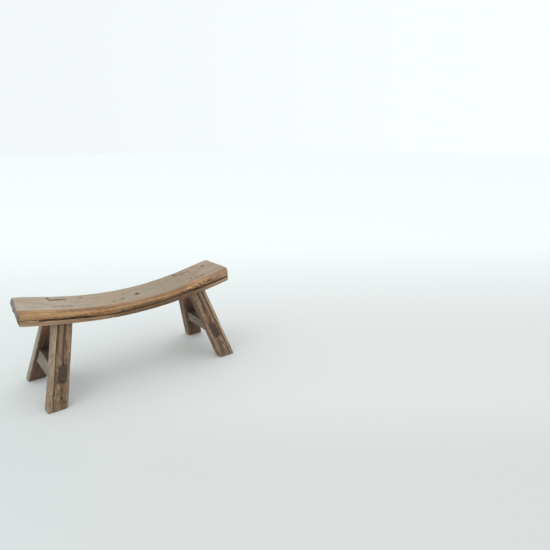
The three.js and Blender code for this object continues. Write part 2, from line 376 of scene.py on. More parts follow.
def make_plank(material):
    ring = plank_ring()
    xs = stations()
    ns, nr = len(xs), len(ring)
    X = np.repeat(xs[:, None], nr, 1)
    Y0 = np.repeat(ring[None, :, 0], ns, 0)
    Wr = np.repeat(ring[None, :, 1] / 22.0, ns, 0)
    front = Y0 < 0
    edge_zone = np.abs(Y0) > HW - 7
    wave = noise(np.stack([X, 0 * X, 0 * X], -1), (46, 9, 9), 201)
    w_g = np.where(front, np.interp(X, GROOVE[:, 0], GROOVE[:, 1]), 0.59 + 0.03 * wave)
    w_h = np.where(front, np.interp(X, GROOVE[:, 0], GROOVE[:, 2]), 0.060 + 0.02 * wave)
    w_d = np.where(front, np.interp(X, GROOVE[:, 0], GROOVE[:, 3]), 0.85)
    W_ref = Wr.copy()
    Wr = np.where(W_ref < 0.588, W_ref * w_g / 0.588, 1 - (1 - W_ref) * (1 - w_g) / (1 - 0.588))

    # rounded corners in plan, and a softened arris round both ends
    s_end = HALF - np.abs(X)
    rad = np.where(X > 0, np.where(front, 5.6, 6.5), np.where(front, 2.6, 5.5))
    q = np.clip(rad - s_end, 0, None)
    inset_y = rad - np.sqrt(np.maximum(rad**2 - q**2, 0))
    Y = Y0 * (1 - inset_y / HW)
    ra = 1.9
    qa = np.clip(ra - s_end, 0, None)
    inset_d = ra - np.sqrt(np.maximum(ra**2 - qa**2, 0))
    T = thick(X)
    D = T / 2 + (Wr - 0.5) * T * (1 - inset_d / (T / 2))
    P = on_plank(X, Y, D)
    P = warp(P, X, Y0, Wr)
    N = grid_normals(P)
    if N[ns // 2, np.argmin(np.hypot(ring[:, 0], ring[:, 1]))][2] < 0:
        N = -N

    topness = ramp(-Wr, -0.10, -0.01)
    sideness = ramp(np.abs(Y0), HW - 3.2, HW - 1.2) * (Wr > 0.02)
    q3 = np.stack([X, Y0, Wr * 22], -1)

    # hand-worked surface: long shallow waves, raised grain, dents
    disp = 0.30 * fbm(q3, (58, 21, 15), 3, 2)
    disp += 0.10 * fbm(q3, (17, 5, 5), 11, 2)
    disp += 0.055 * noise(q3, (26, 1.9, 1.9), 21) + 0.03 * noise(q3, (3.0, 2.2, 2.2), 23)
    # adze-like flats under the plank
    under = ramp(Wr, 0.965, 1.0)
    disp += under * 0.45 * np.abs(noise(q3, (19, 26, 30), 31)) * -1
    # wear: the front arris is rubbed away unevenly
    arris = bump_at(np.hypot((np.abs(Y0) - (HW - 1.6)), (Wr - 0.08) * 22), 6.0)
    disp -= arris * (0.25 + 0.55 * np.clip(noise(q3, (34, 900, 900), 41), 0, 1) + 0.4 * np.clip(noise(q3, (9, 900, 900), 43), 0, 1) ** 2)
    # chips out of the lip above the groove and out of the bead
    lip = bump_at(Wr - (w_g - w_h), 0.05) * (np.abs(Y0) > HW - 4)
    chips = np.clip(noise(q3, (3.4, 900, 900), 47) - 0.35, 0, 1) * 1.5
    rough_x = 0.35 + 0.65 * ramp(X, 40, 95)
    disp -= lip * chips * 1.2 * np.where(front, rough_x, 0.5)
    bead = bump_at(Wr - 0.75, 0.10) * (np.abs(Y0) > HW - 4)
    disp -= bead * np.clip(noise(q3, (13, 900, 900), 53) - 0.2, 0, 1) * 1.1
    # the groove widens and deepens where it has split, and a splinter is left in it at one end
    in_groove = bump_at(Wr - w_g, w_h * 1.15) * edge_zone
    split = np.clip((w_h - 0.05) / 0.06, 0, 1)
    disp -= in_groove * (0.1 + 1.5 * split + 0.4 * noise(q3, (22, 900, 900), 59))
    splinter = ramp(bump_at(Wr - 0.64, 0.055), 0, 0.6) * ramp(bump_at(X + 163, 13), 0, 0.5) * edge_zone * front
    disp += splinter * 1.7
    split_line = np.maximum(bump_at(Wr - 0.575, 0.03), bump_at(Wr - 0.715, 0.03)) * ramp(bump_at(X + 165, 20), 0, 0.3) * edge_zone * front
    disp -= split_line * 0.7
    chipped = np.zeros_like(X)
    for cx, cw, ca, cb, cd in LIP_CHIPS:
        r = np.hypot((X - cx - (Wr - cw) * 22) / ca, (Wr - cw) / cb) + 0.35 * noise(q3, (1.8, 900, 1.8), 205)
        kk = ramp(-r, -1, -0.25) * edge_zone * front
        disp -= kk * cd
        chipped = np.maximum(chipped, kk)
    rough = ramp(X, 96, 112) * ramp(-X, -168, -150) * front * edge_zone * bump_at(Wr - 0.3, 0.3)
    disp -= rough * 0.5 * np.clip(noise(q3, (2.6, 900, 1.6), 207) + 0.1, 0, 1)

    hole = np.zeros_like(X)
    rng = np.random.default_rng(7)
    for px, py, a, b, depth, dark in PITS:
        r = np.hypot((X - px) / a, (Y0 - py) / b) + 0.18 * noise(q3, (1.6, 1.6, 9), 61)
        k = ramp(-r, -1.0, -0.35) * (Wr < 0.05)
        disp -= k * depth
        hole = np.maximum(hole, ramp(-r, -1.15, -0.45) * dark * (Wr < 0.05))
    for _ in range(70):  # small knocks in the top
        px, py = rng.uniform(-176, 176), rng.uniform(-39, 39)
        a, b = rng.uniform(0.9, 3.2), rng.uniform(0.7, 1.6)
        depth = rng.uniform(0.08, 0.3)
        r = np.hypot((X - px) / a, (Y0 - py) / b)
        k = ramp(-r, -1, 0) * (Wr < 0.2)
        disp -= k * depth
        hole = np.maximum(hole, 0.28 * k * (depth / 0.3))
    for _ in range(46):  # nicks along the arrises and the bead
        px, side = rng.uniform(-178, 178), rng.choice([-1, 1])
        wv = rng.choice([0.05, 0.08, 0.5, 0.66, 0.93, 0.97])
        a, b, depth = rng.uniform(1.0, 4.5), rng.uniform(0.03, 0.07), rng.uniform(0.2, 0.8)
        r = np.hypot((X - px) / a, (Wr - wv) / b)
        k = ramp(-r, -1, 0) * (np.sign(Y0) == side) * (np.abs(Y0) > HW - 6)
        disp -= k * depth
        hole = np.maximum(hole, 0.45 * k * depth)

    P = P + N * disp[..., None]

    # masks for the finish
    wob = fbm(q3, (48, 14, 14), 71, 3)
    fine = fbm(q3, (15, 3.0, 3.0), 73, 3)
    reach = np.where(front, 9.0 + 3.6 * wob + 4.0 * ramp(X, 95, 150), 1.0 + 2.0 * wob)
    inward = HW - np.abs(Y0)
    gold_top = ramp(-(inward + 2.0 * fine), -reach - 2.6, -reach + 2.6) * (Wr < 0.3)
    gold_side = ramp(w_g - w_h * 0.6 - Wr, 0.0, 0.06) * ramp(Wr, 0.02, 0.10) * (np.abs(Y0) > HW - 9)
    wear = np.maximum(gold_top, gold_side) * np.where(front, 1.0 - 0.7 * ramp(X, 118, 160), 0.35)
    wear = np.maximum(wear, 1.0 * splinter)
    pale_and_highlight = ramp(splinter, 0.15, 0.6) * ramp(X, -171, -166)
    # painted highlight on the nose of the front edge near x = 101
    pale_and_highlight = np.maximum(pale_and_highlight, 0.62 * bump_at(X - 101, 17) * ramp(bump_at(Wr - 0.22, 0.11), 0, 0.7) * edge_zone * front)
    pale_and_highlight = np.maximum(pale_and_highlight, 0.30 * ramp(bump_at(X - 138, 26), 0, 0.6) * ramp(-inward, -8, -2) * (Wr < 0.08) * front * (0.75 + 0.25 * fine))
    soft = 1 + 0.22 * noise(q3, (7, 900, 2.2), 211)
    dirt = ramp(bump_at(Wr - w_g, w_h * 1.25 * soft), 0.10, 0.62) * edge_zone * w_d
    broken = ramp(noise(q3, (19, 900, 900), 231), -0.1, 0.5)
    dirt = np.maximum(dirt, (0.12 + 0.45 * broken) * bump_at(W_ref - 0.822, 0.035) * edge_zone)
    dirt = np.maximum(dirt, 0.85 * ramp(chipped, 0.25, 0.8))
    dirt = np.maximum(dirt, 0.80 * rough * ramp(noise(q3, (2.6, 900, 1.6), 207), -0.05, 0.35))
    dirt = np.maximum(dirt, lip * np.clip(chips, 0, 1) * np.where(front, rough_x, 0.5))
    dirt = np.maximum(dirt * (1 - 0.95 * splinter), 0.9 * split_line)
    # the lower half of the front edge is darker
    start = np.interp(X, (-60, -38, -20, 0, 18, 40, 63, 88, 100, 118, 140, 190), (0.9, 0.5, 0.32, 0.17, 0.13, 0.19, 0.28, 0.31, 0.31, 0.30, 0.25, 0.4))
    strong = np.interp(X, (-58, -30, 112, 132, 150, 172), (0, 1, 1, 0.45, 0.35, 0))
    start = start + 0.05 * noise(q3, (12, 900, 900), 233)
    dark_lower_edge = strong * front * edge_zone * (0.45 * ramp(Wr, start, start + 0.10) + 0.55 * ramp(Wr, start + 0.06, start + 0.26))
    # a darker warm line runs along the top arris, and the nose below it carries a painted highlight
    along_noise = 0.72 + 0.28 * noise(q3, (23, 900, 900), 235)
    dark_arris_line = ramp(-inward, -11 - 3 * wob, -5) * ramp(-Wr, -0.115, -0.060) * front * (Wr < 0.3) * along_noise
    dark_arris_line = np.minimum(1.5, dark_arris_line * (1 + 0.9 * ramp(-X, 30, 80) * ramp(X, -140, -110)))
    nose_w = np.interp(X, (-180, -130, -87, -40, 0, 40, 100, 180), (0.29, 0.28, 0.24, 0.20, 0.165, 0.17, 0.22, 0.20))
    nose_h = np.interp(X, (-180, -130, -87, -40, 0, 40, 100, 180), (0.18, 0.18, 0.16, 0.13, 0.11, 0.12, 0.15, 0.14))
    nose_highlight = bump_at(Wr - nose_w, nose_h) * edge_zone * front * (0.8 + 0.2 * fine)
    nose_highlight = nose_highlight * (1 - 0.45 * ramp(X, 112, 132) - 0.5 * ramp(X, 158, 172))
    olive = ramp(-X, 176.5, 178.6) * front * edge_zone * ramp(Wr, 0.03, 0.12) * ramp(-Wr, -0.56, -0.46)
    for _, sx, sy in CORNERS:
        m = tenon_mark(X, Y0, sx, sy)
        streaky = 0.55 + 0.45 * noise(q3, (7, 3, 9), 213 + sx + 3 * sy)
        hole = np.maximum(hole, 0.32 * streaky * ramp(-np.abs(m), -1.1, -0.1) * (Wr < 0.05))
        # a dark drying crack runs along one cheek of the mortise and on into the grain
        z = top_z(X)
        t = sy * (FOOT_Y - RAKE_Y * z) - Y0
        u = sx * (FOOT_X - RAKE_X * z) - X
        off = t - (TENON_T / 2 + GAP) * (sy if sx < 0 else -sy)
        lo, hi = CRACKS[(sx, sy)]
        along = ramp(-u, lo - 3, lo + 3) * ramp(u, -hi - 3, -hi + 3)
        crack = bump_at(off + 0.5 * noise(q3, (9, 900, 900), 219), 1.3) * along * (Wr < 0.05)
        hole = np.maximum(hole, (0.22 if sx < 0 and sy > 0 else 0.72) * crack * (0.75 + 0.25 * noise(q3, (4, 3, 9), 221)))
    bead_m = ramp(Wr, 0.63, 0.68) * (1 - ramp(Wr, 0.955, 0.99)) * (np.abs(Y0) > HW - 4)
    end = ramp(-s_end, -1.6, -0.2)

    # end caps: rings drawn in to the middle
    verts = [P.reshape(-1, 3)]
    cols = {
        "m_wear": [wear], "m_dirt": [dirt], "m_top": [topness * (1 - wear)], "m_hole": [hole], "m_end": [end],
        "m_bead": [bead_m], "m_under": [under], "m_dark_lower_edge": [dark_lower_edge], "m_olive": [olive],
        "m_dark_arris_line": [dark_arris_line], "m_nose_highlight": [nose_highlight], "m_pale_and_highlight": [pale_and_highlight],
    }
    arc = np.cumsum(np.concatenate([[0], np.linalg.norm(np.diff(on_plank(xs, 0 * xs, 0 * xs), axis=0), axis=1)]))
    A = np.repeat(arc[:, None], nr, 1)
    g = [np.stack([A, Y0, D], -1).reshape(-1, 3)]
    faces = [tube_faces(ns, nr)]
    base = ns * nr
    nk = 9
    for end_i, sgn in ((0, -1), (ns - 1, 1)):
        ringP = P[end_i]
        mid_d = T[end_i].mean() / 2
        centre = warp(on_plank(np.array([xs[end_i]]), np.array([0.0]), np.array([mid_d]))[0], xs[end_i], 0.0, 0.5)
        outward = np.array([sgn * 1.0, 0, sgn * top_slope(xs[end_i])])
        outward /= np.linalg.norm(outward)
        prev = np.arange(end_i * nr, end_i * nr + nr)
        for k in range(1, nk + 1):
            f = 1 - k / (nk + 1)
            yk, dk = Y[end_i] * f, mid_d + (D[end_i] - mid_d) * f
            pk = warp(on_plank(np.full(nr, xs[end_i]), yk, dk), xs[end_i], yk, dk / T[end_i])
            h = 0.22 * fbm(np.stack([yk, dk, 0 * yk], -1), (6, 1.7, 9), 83 + end_i, 2) - 0.15
            flat = warp(on_plank(np.full(nr, xs[end_i]), Y[end_i], D[end_i]), xs[end_i], Y0[end_i], Wr[end_i])
            wob2 = (ringP - flat) * f**4
            pk = pk + wob2 + outward * (h * ramp(k, 0, 2))[..., None]
            idx = base + np.arange(nr)
            base += nr
            verts.append(pk)
            g.append(np.stack([np.full(nr, arc[end_i]), yk, dk], -1))
            for key in cols:
                cols[key].append(np.full(nr, 1.0 if key == "m_end" else 0.0))
            a, b = prev, np.roll(prev, -1)
            c, d = np.roll(idx, -1), idx
            q = np.stack([a, b, c, d], -1)
            faces.append(q if sgn > 0 else q[:, ::-1])
            prev = idx
        verts.append(centre[None])
        g.append(np.array([[arc[end_i], 0, mid_d]]))
        for key in cols:
            cols[key].append(np.array([1.0 if key == "m_end" else 0.0]))
        tri = np.stack([prev, np.roll(prev, -1), np.full(nr, base)], -1)
        faces.append(tri if sgn > 0 else tri[:, ::-1])
        base += 1
    V = np.vstack(verts)
    F = [f for block in faces for f in block.tolist()]
    attrs = {k: np.concatenate([np.ravel(c) for c in v]) for k, v in cols.items()}
    attrs["grain"] = np.vstack(g)
    ob = make_mesh("plank", V, F, attrs)
    fix_faces(ob)
    for _, sx, sy in CORNERS:
        w, t = TENON_W / 2 + GAP, TENON_T / 2 + GAP
        boolean(ob, prism("mortise", rect(-w, w, -t, t), 90, 200, sx, sy), "DIFFERENCE")
    return finish_piece(ob, "headrest_plank", material)


def signed_volume(me):
    n = len(me.vertices)
    co = np.zeros(n * 3)
    me.vertices.foreach_get("co", co)
    co = co.reshape(-1, 3)
    me.calc_loop_triangles()
    tri = np.zeros(len(me.loop_triangles) * 3, np.int32)
    me.loop_triangles.foreach_get("vertices", tri)
    tri = tri.reshape(-1, 3)
    a, b, c = co[tri[:, 0]], co[tri[:, 1]], co[tri[:, 2]]
    return float((a * np.cross(b, c)).sum() / 6)


def fix_faces(ob):
    """Turns a closed mesh the right way out."""
    if signed_volume(ob.data) < 0:
        ob.data.flip_normals()
        ob.data.update()


# ------------------------------------------------------------------------------------------------
# Legs
# ------------------------------------------------------------------------------------------------
LW, LT = LEG_W / 2, LEG_T / 2
LEG_RING = [
    (-LW, LT - 1.6), (-LW, 0.0), (-LW, -LT + 3.2), (-LW + 0.25, -LT + 1.7), (-LW + 0.9, -LT + 0.7), (-LW + 2.1, -LT + 0.1),
    (-LW + 3.6, -LT + 0.05), (-LW + 4.9, -LT + 0.35), (-LW + 5.9, -LT + 1.0), (-8.7, -LT + 1.95), (-8.1, -LT + 2.0),
    (-7.4, -LT + 1.1), (-6.3, -LT + 0.45), (-4.6, -LT + 0.1), (-2.8, -LT + 0.02), (-1.0, -LT + 0.2), (0.4, -LT + 0.6),
    (1.3, -LT + 1.2), (1.9, -LT + 1.95), (2.5, -LT + 2.0), (3.2, -LT + 1.1), (4.2, -LT + 0.45), (6.0, -LT + 0.12),
    (9.0, -LT + 0.05), (LW - 2.6, -LT + 0.1), (LW - 1.0, -LT + 0.7), (LW - 0.2, -LT + 1.8), (LW, -LT + 3.4), (LW, 0.0),
    (LW, LT - 1.6), (LW - 0.5, LT - 0.5), (LW - 1.6, LT), (0.0, LT), (-LW + 1.6, LT), (-LW + 0.5, LT - 0.5),
]


def underside_z(u, t, sx, sy, clearance):
    """Height at which the raked line (u, t) meets the underside of the plank, lowered by a clearance."""
    z = np.full(np.shape(u), 128.0)
    for _ in range(12):
        x = sx * (FOOT_X - RAKE_X * z - u)
        # station whose normal passes through this point, to first order
        s = top_slope(x)
        n = np.sqrt(1 + s * s)
        d = thick(x) + clearance
        xs = x - d * s / n
        for _ in range(3):
            s = top_slope(xs)
            n = np.sqrt(1 + s * s)
            d = thick(xs) + clearance
            xs = x - d * s / n
        z = top_z(xs) - d / n
    return z


def leg_ring():
    ring = smooth_closed(np.array(LEG_RING), 2)

    def step(p):
        return 0.5 if p[1] < -LT + 3.5 else (0.8 if abs(p[0]) > LW - 2 or p[1] > LT - 2 else 1.5)

    return resample_closed(ring, step)


def make_leg(name, sx, sy, material, seed):
    ring = leg_ring()
    nr = len(ring)
    U0, T0 = ring[:, 0], ring[:, 1]

    def wide(u, z):
        """The left rear leg was left a little broader, and the left front one spreads at its foot."""
        if name == "back_left":
            return np.where(u < 0, u * (1 + 2.2 / LW), u)
        if name == "front_left":
            return np.where(u < 0, u * (1 + 1.5 / LW * np.clip((62 - z) / 62, 0, 1)), u)
        return u

    zt = underside_z(wide(U0, 120.0), T0, sx, sy, 0.25)
    tau = np.concatenate([[0, 0.0016, 0.004, 0.0075, 0.012, 0.018, 0.026], np.linspace(0.034, 1, 132)])
    ns = len(tau)
    T = np.repeat(T0[None], ns, 0)
    Z = tau[:, None] * zt[None, :]
    # the two scratched lines wander down the leg
    wv = np.stack([0 * Z, 0 * Z, Z], -1) + seed * 13.0
    g1 = np.interp(Z, (0, 30, 62, 110), (7.4, 8.3, 8.5, 7.8)) + 0.35 * noise(wv, (9, 9, 21), 301)
    g2 = np.interp(Z, (0, 30, 62, 110), (4.6, 3.9, 3.4, 2.8)) + 0.45 * noise(wv, (9, 9, 17), 303)
    Ua = np.repeat(U0[None], ns, 0)
    knots_x = [-LW, -12.0, -8.4, -3.0, 2.2, 7.5, LW]
    shift = [0 * Z, 0 * Z, 8.4 - g1, (8.4 - g1 + g2 - 2.2) / 2, g2 - 2.2, 0.35 * (g2 - 2.2), 0 * Z]
    U = Ua.copy()
    for a in range(len(knots_x) - 1):
        f = np.clip((Ua - knots_x[a]) / (knots_x[a + 1] - knots_x[a]), 0, 1)
        inside = (Ua >= knots_x[a]) & (Ua < knots_x[a + 1])
        U = np.where(inside, Ua + shift[a] * (1 - f) + shift[a + 1] * f, U)
    # foot arris, worn round
    q = np.clip(3.0 - Z, 0, None)
    inset = 3.0 - np.sqrt(np.maximum(3.0**2 - q**2, 0))
    k = 1 - inset * 0.5 / LT
    P = raked(wide(U * (1 - inset * 0.6 / LW), Z), T * k, Z, sx, sy)
    N = grid_normals(P)
    probe = np.argmax(U0)
    if (N[ns // 2, probe] * np.array([-sx, 0, 0])).sum() < 0:
        N = -N
    q3 = np.stack([U, T, Z], -1) + seed * 37.0
    disp = 0.26 * fbm(q3, (11, 9, 46), 101, 2) + 0.09 * fbm(q3, (4, 4, 15), 103, 2) + 0.045 * noise(q3, (1.7, 1.7, 24), 107)
    corner = bump_at(np.hypot(np.abs(U) - LW + 0.6, np.abs(T) - LT + 0.6), 3.6)
    disp -= corner * (0.1 + 0.65 * np.clip(noise(q3, (900, 900, 17), 109), 0, 1) + 0.5 * np.clip(noise(q3, (900, 900, 5), 113), 0, 1) ** 2)
    gr = np.maximum(bump_at(U + g1, 1.3), bump_at(U - g2, 1.9)) * (T < -LT + 3.2)
    disp -= gr * 0.35 * noise(q3, (900, 900, 12), 127)
    disp += gr * 1.3 * ramp(-Z, -9, -1)
    foot = ramp(-Z, -34, -1)
    disp -= ramp(-Z, -16, -1) * (0.12 + 0.4 * np.clip(noise(q3, (5, 5, 7), 131), 0, 1))
    hole = np.zeros_like(U)
    rng = np.random.default_rng(40 + seed)
    pits = [(rng.uniform(-LW, LW), rng.choice([-1, 1]), rng.uniform(6, 118), rng.uniform(0.6, 1.8), rng.uniform(1.0, 5.0), rng.uniform(0.15, 0.7)) for _ in range(34)]
    pits += [(rng.uniform(-LW + 2, LW - 1), -1, rng.uniform(8, 118), rng.uniform(0.5, 1.0), rng.uniform(0.8, 3.2), rng.uniform(0.5, 1.2)) for _ in range(30)]
    if name == "front_left":  # two worm holes low on the outer face
        pits += [(-9.5, -1, 24.5, 1.6, 1.9, 1.7), (4.2, -1, 17.0, 1.7, 2.0, 1.8), (10.5, -1, 9.0, 1.5, 2.4, 0.9)]
    for pu, side, pz, a, b, depth in pits:
        r = np.hypot((U - pu) / a, (Z - pz) / b)
        kk = ramp(-r, -1, -0.1) * ((T * side) > LT - 4.5)
        disp -= kk * depth * 0.8
        hole = np.maximum(hole, kk * min(1.0, depth * 0.62))
    # hand grease and old glue round the stretcher's tenon
    du = np.maximum(np.maximum(ST_TU0 - U, U - ST_TU1 - 1.5), 0)
    dz = np.maximum(np.maximum(ST_Z0 - 1 - Z, Z - ST_Z1 - 1.5), 0)
    halo = ramp(-np.hypot(du, dz) + 1.1 * noise(q3, (3, 900, 3.4), 307), -3.4, -0.2) * (T < -LT + 4)
    smear = bump_at(U - 10.0, 3.6) * ramp(Z, 44, 52) * ramp(-Z, -82, -66) * (T < -LT + 4)
    hole = np.maximum(hole, np.maximum(0.62 * halo, 0.42 * smear * (0.7 + 0.3 * noise(q3, (3, 900, 7), 309))))
    if name == "front_left":  # darker where it is gripped, and painted shade down the right arris
        hole = np.maximum(hole, 0.27 * bump_at(Z - 46, 27) * ramp(-U, LW - 6.5, LW - 4.5))
        # painted shade: a dark strip down the right arris of the outer face, low on the leg
        hole = np.maximum(hole, 0.60 * ramp(U, LW - 2.8, LW - 1.0) * ramp(Z, 10, 18) * ramp(-Z, -68, -58) * (T < 0))
    fade = ramp(zt[None, :] - Z, 0.0, 1.2) * 0.8 + 0.2
    disp = disp * fade * ramp(Z, -0.5, 2.5)
    P = P + N * disp[..., None]
    P[..., 2] = np.maximum(P[..., 2], 0.0)

    outer = ramp(-T, LT - 3.4, LT - 2.4)
    ragged = 1 + 0.35 * noise(q3, (2.4, 900, 5), 305)
    dirt = np.maximum(bump_at(U + g1, 1.9 * ragged), ramp(bump_at(U - g2, 2.9 * ragged), 0.0, 0.75) * (0.62 + 0.38 * ramp(Z, 30, 60))) * outer * (1 - 0.85 * ramp(-Z, -8, -2))
    # the beads are painted lighter as a painted highlight
    bead = np.maximum(bump_at(U + 12.4, 3.6), 0.22 * bump_at(U + 3.2, 4.0)) * outer
    # painted highlight: a light line along the bead edge, just left of the left groove
    edge = bump_at(U + g1 + 2.1, 1.3) * outer
    wear = corner
    masks = {
        "m_wear": wear, "m_dirt": dirt, "m_hole": hole, "m_bead": bead, "m_foot": foot, "m_highlight_line": edge,
        # painted light on the outer end faces, painted shade on the inner faces
        "m_left": ramp(-U, LW - 1.6, LW - 0.4), "m_inner": ramp(T, LT - 1.2, LT - 0.3), "m_end": 0 * U,
        # a lighter band painted into that shade near the plank
        "m_lit": ramp(T, LT - 1.2, LT - 0.3) * ramp(Z, 78, 112),
        # painted light: the outer face of the back left leg is painted a light grey
        "m_lit_grey_face": ramp(-U, LW - 1.2, LW - 0.3) * (1.0 if name == "back_left" else 0.0),
    }
    cols = {k2: [v] for k2, v in masks.items()}
    verts = [P.reshape(-1, 3)]
    L = Z * math.sqrt(1 + RAKE_X**2 + RAKE_Y**2)
    g = [np.stack([L, U, T], -1).reshape(-1, 3)]
    faces = [tube_faces(ns, nr)]
    base = ns * nr
    for i, sgn in ((0, -1), (ns - 1, 1)):
        prev = np.arange(i * nr, i * nr + nr)
        for k3 in (0.86, 0.62, 0.34):
            if sgn < 0:
                pk = raked(wide(U0 * (1 - 1.8 / LW) * k3, 0.0), T0 * (1 - 1.5 / LT) * k3, 0.0 * U0, sx, sy)
                pk[:, 2] = 0.0
            else:
                uk = wide(U0 * k3, 120.0)
                pk = raked(uk, T0 * k3, underside_z(uk, T0 * k3, sx, sy, 0.25), sx, sy)
            idx = base + np.arange(nr)
            base += nr
            verts.append(pk)
            g.append(np.stack([np.full(nr, L[i].mean()), U0 * k3, T0 * k3], -1))
            for key in cols:
                cols[key].append(np.full(nr, 1.0 if key == "m_end" else 0.0))
            faces.append(np.stack([prev, np.roll(prev, -1), np.roll(idx, -1), idx], -1))
            if sgn < 0:
                faces[-1] = faces[-1][:, ::-1]
            prev = idx
        cz = 0.0 if sgn < 0 else float(underside_z(np.array([0.0]), np.array([0.0]), sx, sy, 0.25)[0])
        verts.append(raked(np.array([0.0]), np.array([0.0]), np.array([cz]), sx, sy))
        g.append(np.array([[L[i].mean(), 0, 0]]))
        for key in cols:
            cols[key].append(np.array([1.0 if key == "m_end" else 0.0]))
        tri = np.stack([prev, np.roll(prev, -1), np.full(nr, base)], -1)
        faces.append(tri if sgn > 0 else tri[:, ::-1])
        base += 1
    attrs = {k2: np.concatenate([np.ravel(c) for c in v]) for k2, v in cols.items()}
    attrs["grain"] = np.vstack(g)
    ob = make_mesh("leg", np.vstack(verts), [f for b in faces for f in b.tolist()], attrs)
    fix_faces(ob)
    tenon = make_tenon(sx, sy, seed)
    boolean(ob, tenon, "UNION")
    boolean(ob, kerf("kerf", sx, sy, GAP, 2.0, seed)[0], "DIFFERENCE")
    boolean(ob, prism("st_mortise", rect(ST_TU0 - 0.25, ST_TU1 + 0.25, -LT - 4, LT + 4), ST_Z0 - 0.25, ST_Z1 + 0.25, sx, sy), "DIFFERENCE")
    return finish_piece(ob, "leg_" + name, material)


def lattice(nu, nt, nz):
    """Vertex grid of a closed box surface: returns (i, j, k) of each vertex, and quads."""
    ids, verts, faces = {}, [], []

    def vid(i, j, k):
        key = (i, j, k)
        if key not in ids:
            ids[key] = len(verts)
            verts.append(key)
        return ids[key]

    for i in range(nu):
        for j in range(nt):
            faces.append([vid(i, j, nz), vid(i + 1, j, nz), vid(i + 1, j + 1, nz), vid(i, j + 1, nz)])
            faces.append([vid(i, j + 1, 0), vid(i + 1, j + 1, 0), vid(i + 1, j, 0), vid(i, j, 0)])
    for i in range(nu):
        for k in range(nz):
            faces.append([vid(i, 0, k), vid(i + 1, 0, k), vid(i + 1, 0, k + 1), vid(i, 0, k + 1)])
            faces.append([vid(i, nt, k + 1), vid(i + 1, nt, k + 1), vid(i + 1, nt, k), vid(i, nt, k)])
    for j in range(nt):
        for k in range(nz):
            faces.append([vid(0, j, k + 1), vid(0, j + 1, k + 1), vid(0, j + 1, k), vid(0, j, k)])
            faces.append([vid(nu, j, k), vid(nu, j + 1, k), vid(nu, j + 1, k + 1), vid(nu, j, k + 1)])
    return np.array(verts), faces


def top_surface_z(u, t, sx, sy):
    z = np.full(np.shape(u), 145.0)
    for _ in range(12):
        z = top_z(sx * (FOOT_X - RAKE_X * z - u))
    return z


# dark pits and streaks on the tenon ends: x, y, half length, half width, depth of colour
NOTCHES = {
    (-1, 1): [(-128.0, 24.5, 3.2, 2.8, 1.0), (-118.0, 21.0, 9.0, 1.3, 0.30)],
    (-1, -1): [(-112.0, -27.0, 12.0, 1.4, 0.65)],
    (1, 1): [(108.5, 25.0, 3.0, 2.0, 1.0), (113.5, 27.0, 5.0, 1.4, 0.7)],
    (1, -1): [(126.5, -19.5, 5.5, 1.3, 0.85), (111.0, -24.0, 4.0, 1.3, 0.35)],
}


def make_tenon(sx, sy, seed):
    nu, nt, nz = 34, 12, 8
    ijk, faces = lattice(nu, nt, nz)
    U = (ijk[:, 0] / nu - 0.5) * TENON_W
    T = (ijk[:, 1] / nt - 0.5) * TENON_T
    zt = top_surface_z(U, T, sx, sy)
    q3 = np.stack([U, T, 0 * U], -1) + seed * 11.0
    low = -0.05 + 0.18 * fbm(q3, (7, 4, 9), 151, 2)
    edge = np.minimum(TENON_W / 2 - np.abs(U), TENON_T / 2 - np.abs(T))
    low -= 0.12 * ramp(-edge, -0.9, 0)
    zt = zt + np.minimum(low, 0.1)
    Z = 100 + ijk[:, 2] / nz * (zt - 100)
    P = raked(U, T, Z, sx, sy)
    topf = (ijk[:, 2] == nz).astype(float)
    dark = 0.40 * ramp(-edge, -0.8, 0)
    for px, py, a, b, k in NOTCHES.get((sx, sy), ()):
        dark = np.maximum(dark, k * ramp(-np.hypot((P[:, 0] - px) / a, (P[:, 1] - py) / b), -1.2, -0.4))
    attrs = {
        "m_wear": 0 * U, "m_dirt": 0 * U, "m_hole": topf * dark, "m_bead": 0 * U, "m_foot": 0 * U,
        "m_highlight_line": 0 * U, "m_left": 0 * U, "m_inner": 0 * U, "m_lit": 0 * U, "m_lit_grey_face": 0 * U, "m_end": topf, "grain": np.stack([Z, U, T], -1), "m_cap": topf,
    }
    if sx * sy < 0:
        faces = [f[::-1] for f in faces]
    ob = make_mesh("tenon", P, faces, attrs, smooth=False)
    fix_faces(ob)
    return ob


def kerf(name, sx, sy, extra, over, seed, top=175.0, flush=False):
    """The saw kerf in a tenon, or the wedge that fills it."""
    nu, nt, nz = 3, 10, 10
    ijk, faces = lattice(nu, nt, nz)
    s_top, s_tip, depth = WEDGE_TOP / 2 + extra, WEDGE_TIP / 2 + extra, WEDGE_DEPTH + extra
    z_surface = float(top_z(LEGTOP_X - RAKE_X * T_MID))
    z_tip = z_surface - depth
    half = TENON_T / 2 + over
    T = (ijk[:, 1] / nt - 0.5) * 2 * half
    W = ijk[:, 0] / nu * 2 - 1
    if flush:
        zt = top_surface_z(0 * T, T, sx, sy) - 0.15 + 0.08 * noise(np.stack([W * 3, T, 0 * T], -1) + seed, (2, 2, 2), 161)
    else:
        zt = np.full(T.shape, top)
    Z = z_tip + ijk[:, 2] / nz * (zt - z_tip)
    U = W * (s_tip + (s_top - s_tip) / depth * (Z - z_tip))
    P = raked(U, T, Z, sx, sy)
    if sx * sy < 0:
        faces = [f[::-1] for f in faces]
    attrs = {"grain": np.stack([Z, U, T], -1), "m_end": (ijk[:, 2] == nz).astype(float), "m_hole": 0 * T}
    ob = make_mesh(name, P, faces, attrs if flush else None, smooth=False)
    fix_faces(ob)
    return ob, z_tip


def make_wedge(name, sx, sy, material, seed):
    ob, _ = kerf("wedge", sx, sy, 0.0, -0.2, seed, flush=True)
    return finish_piece(ob, "tenon_wedge_" + name, material)


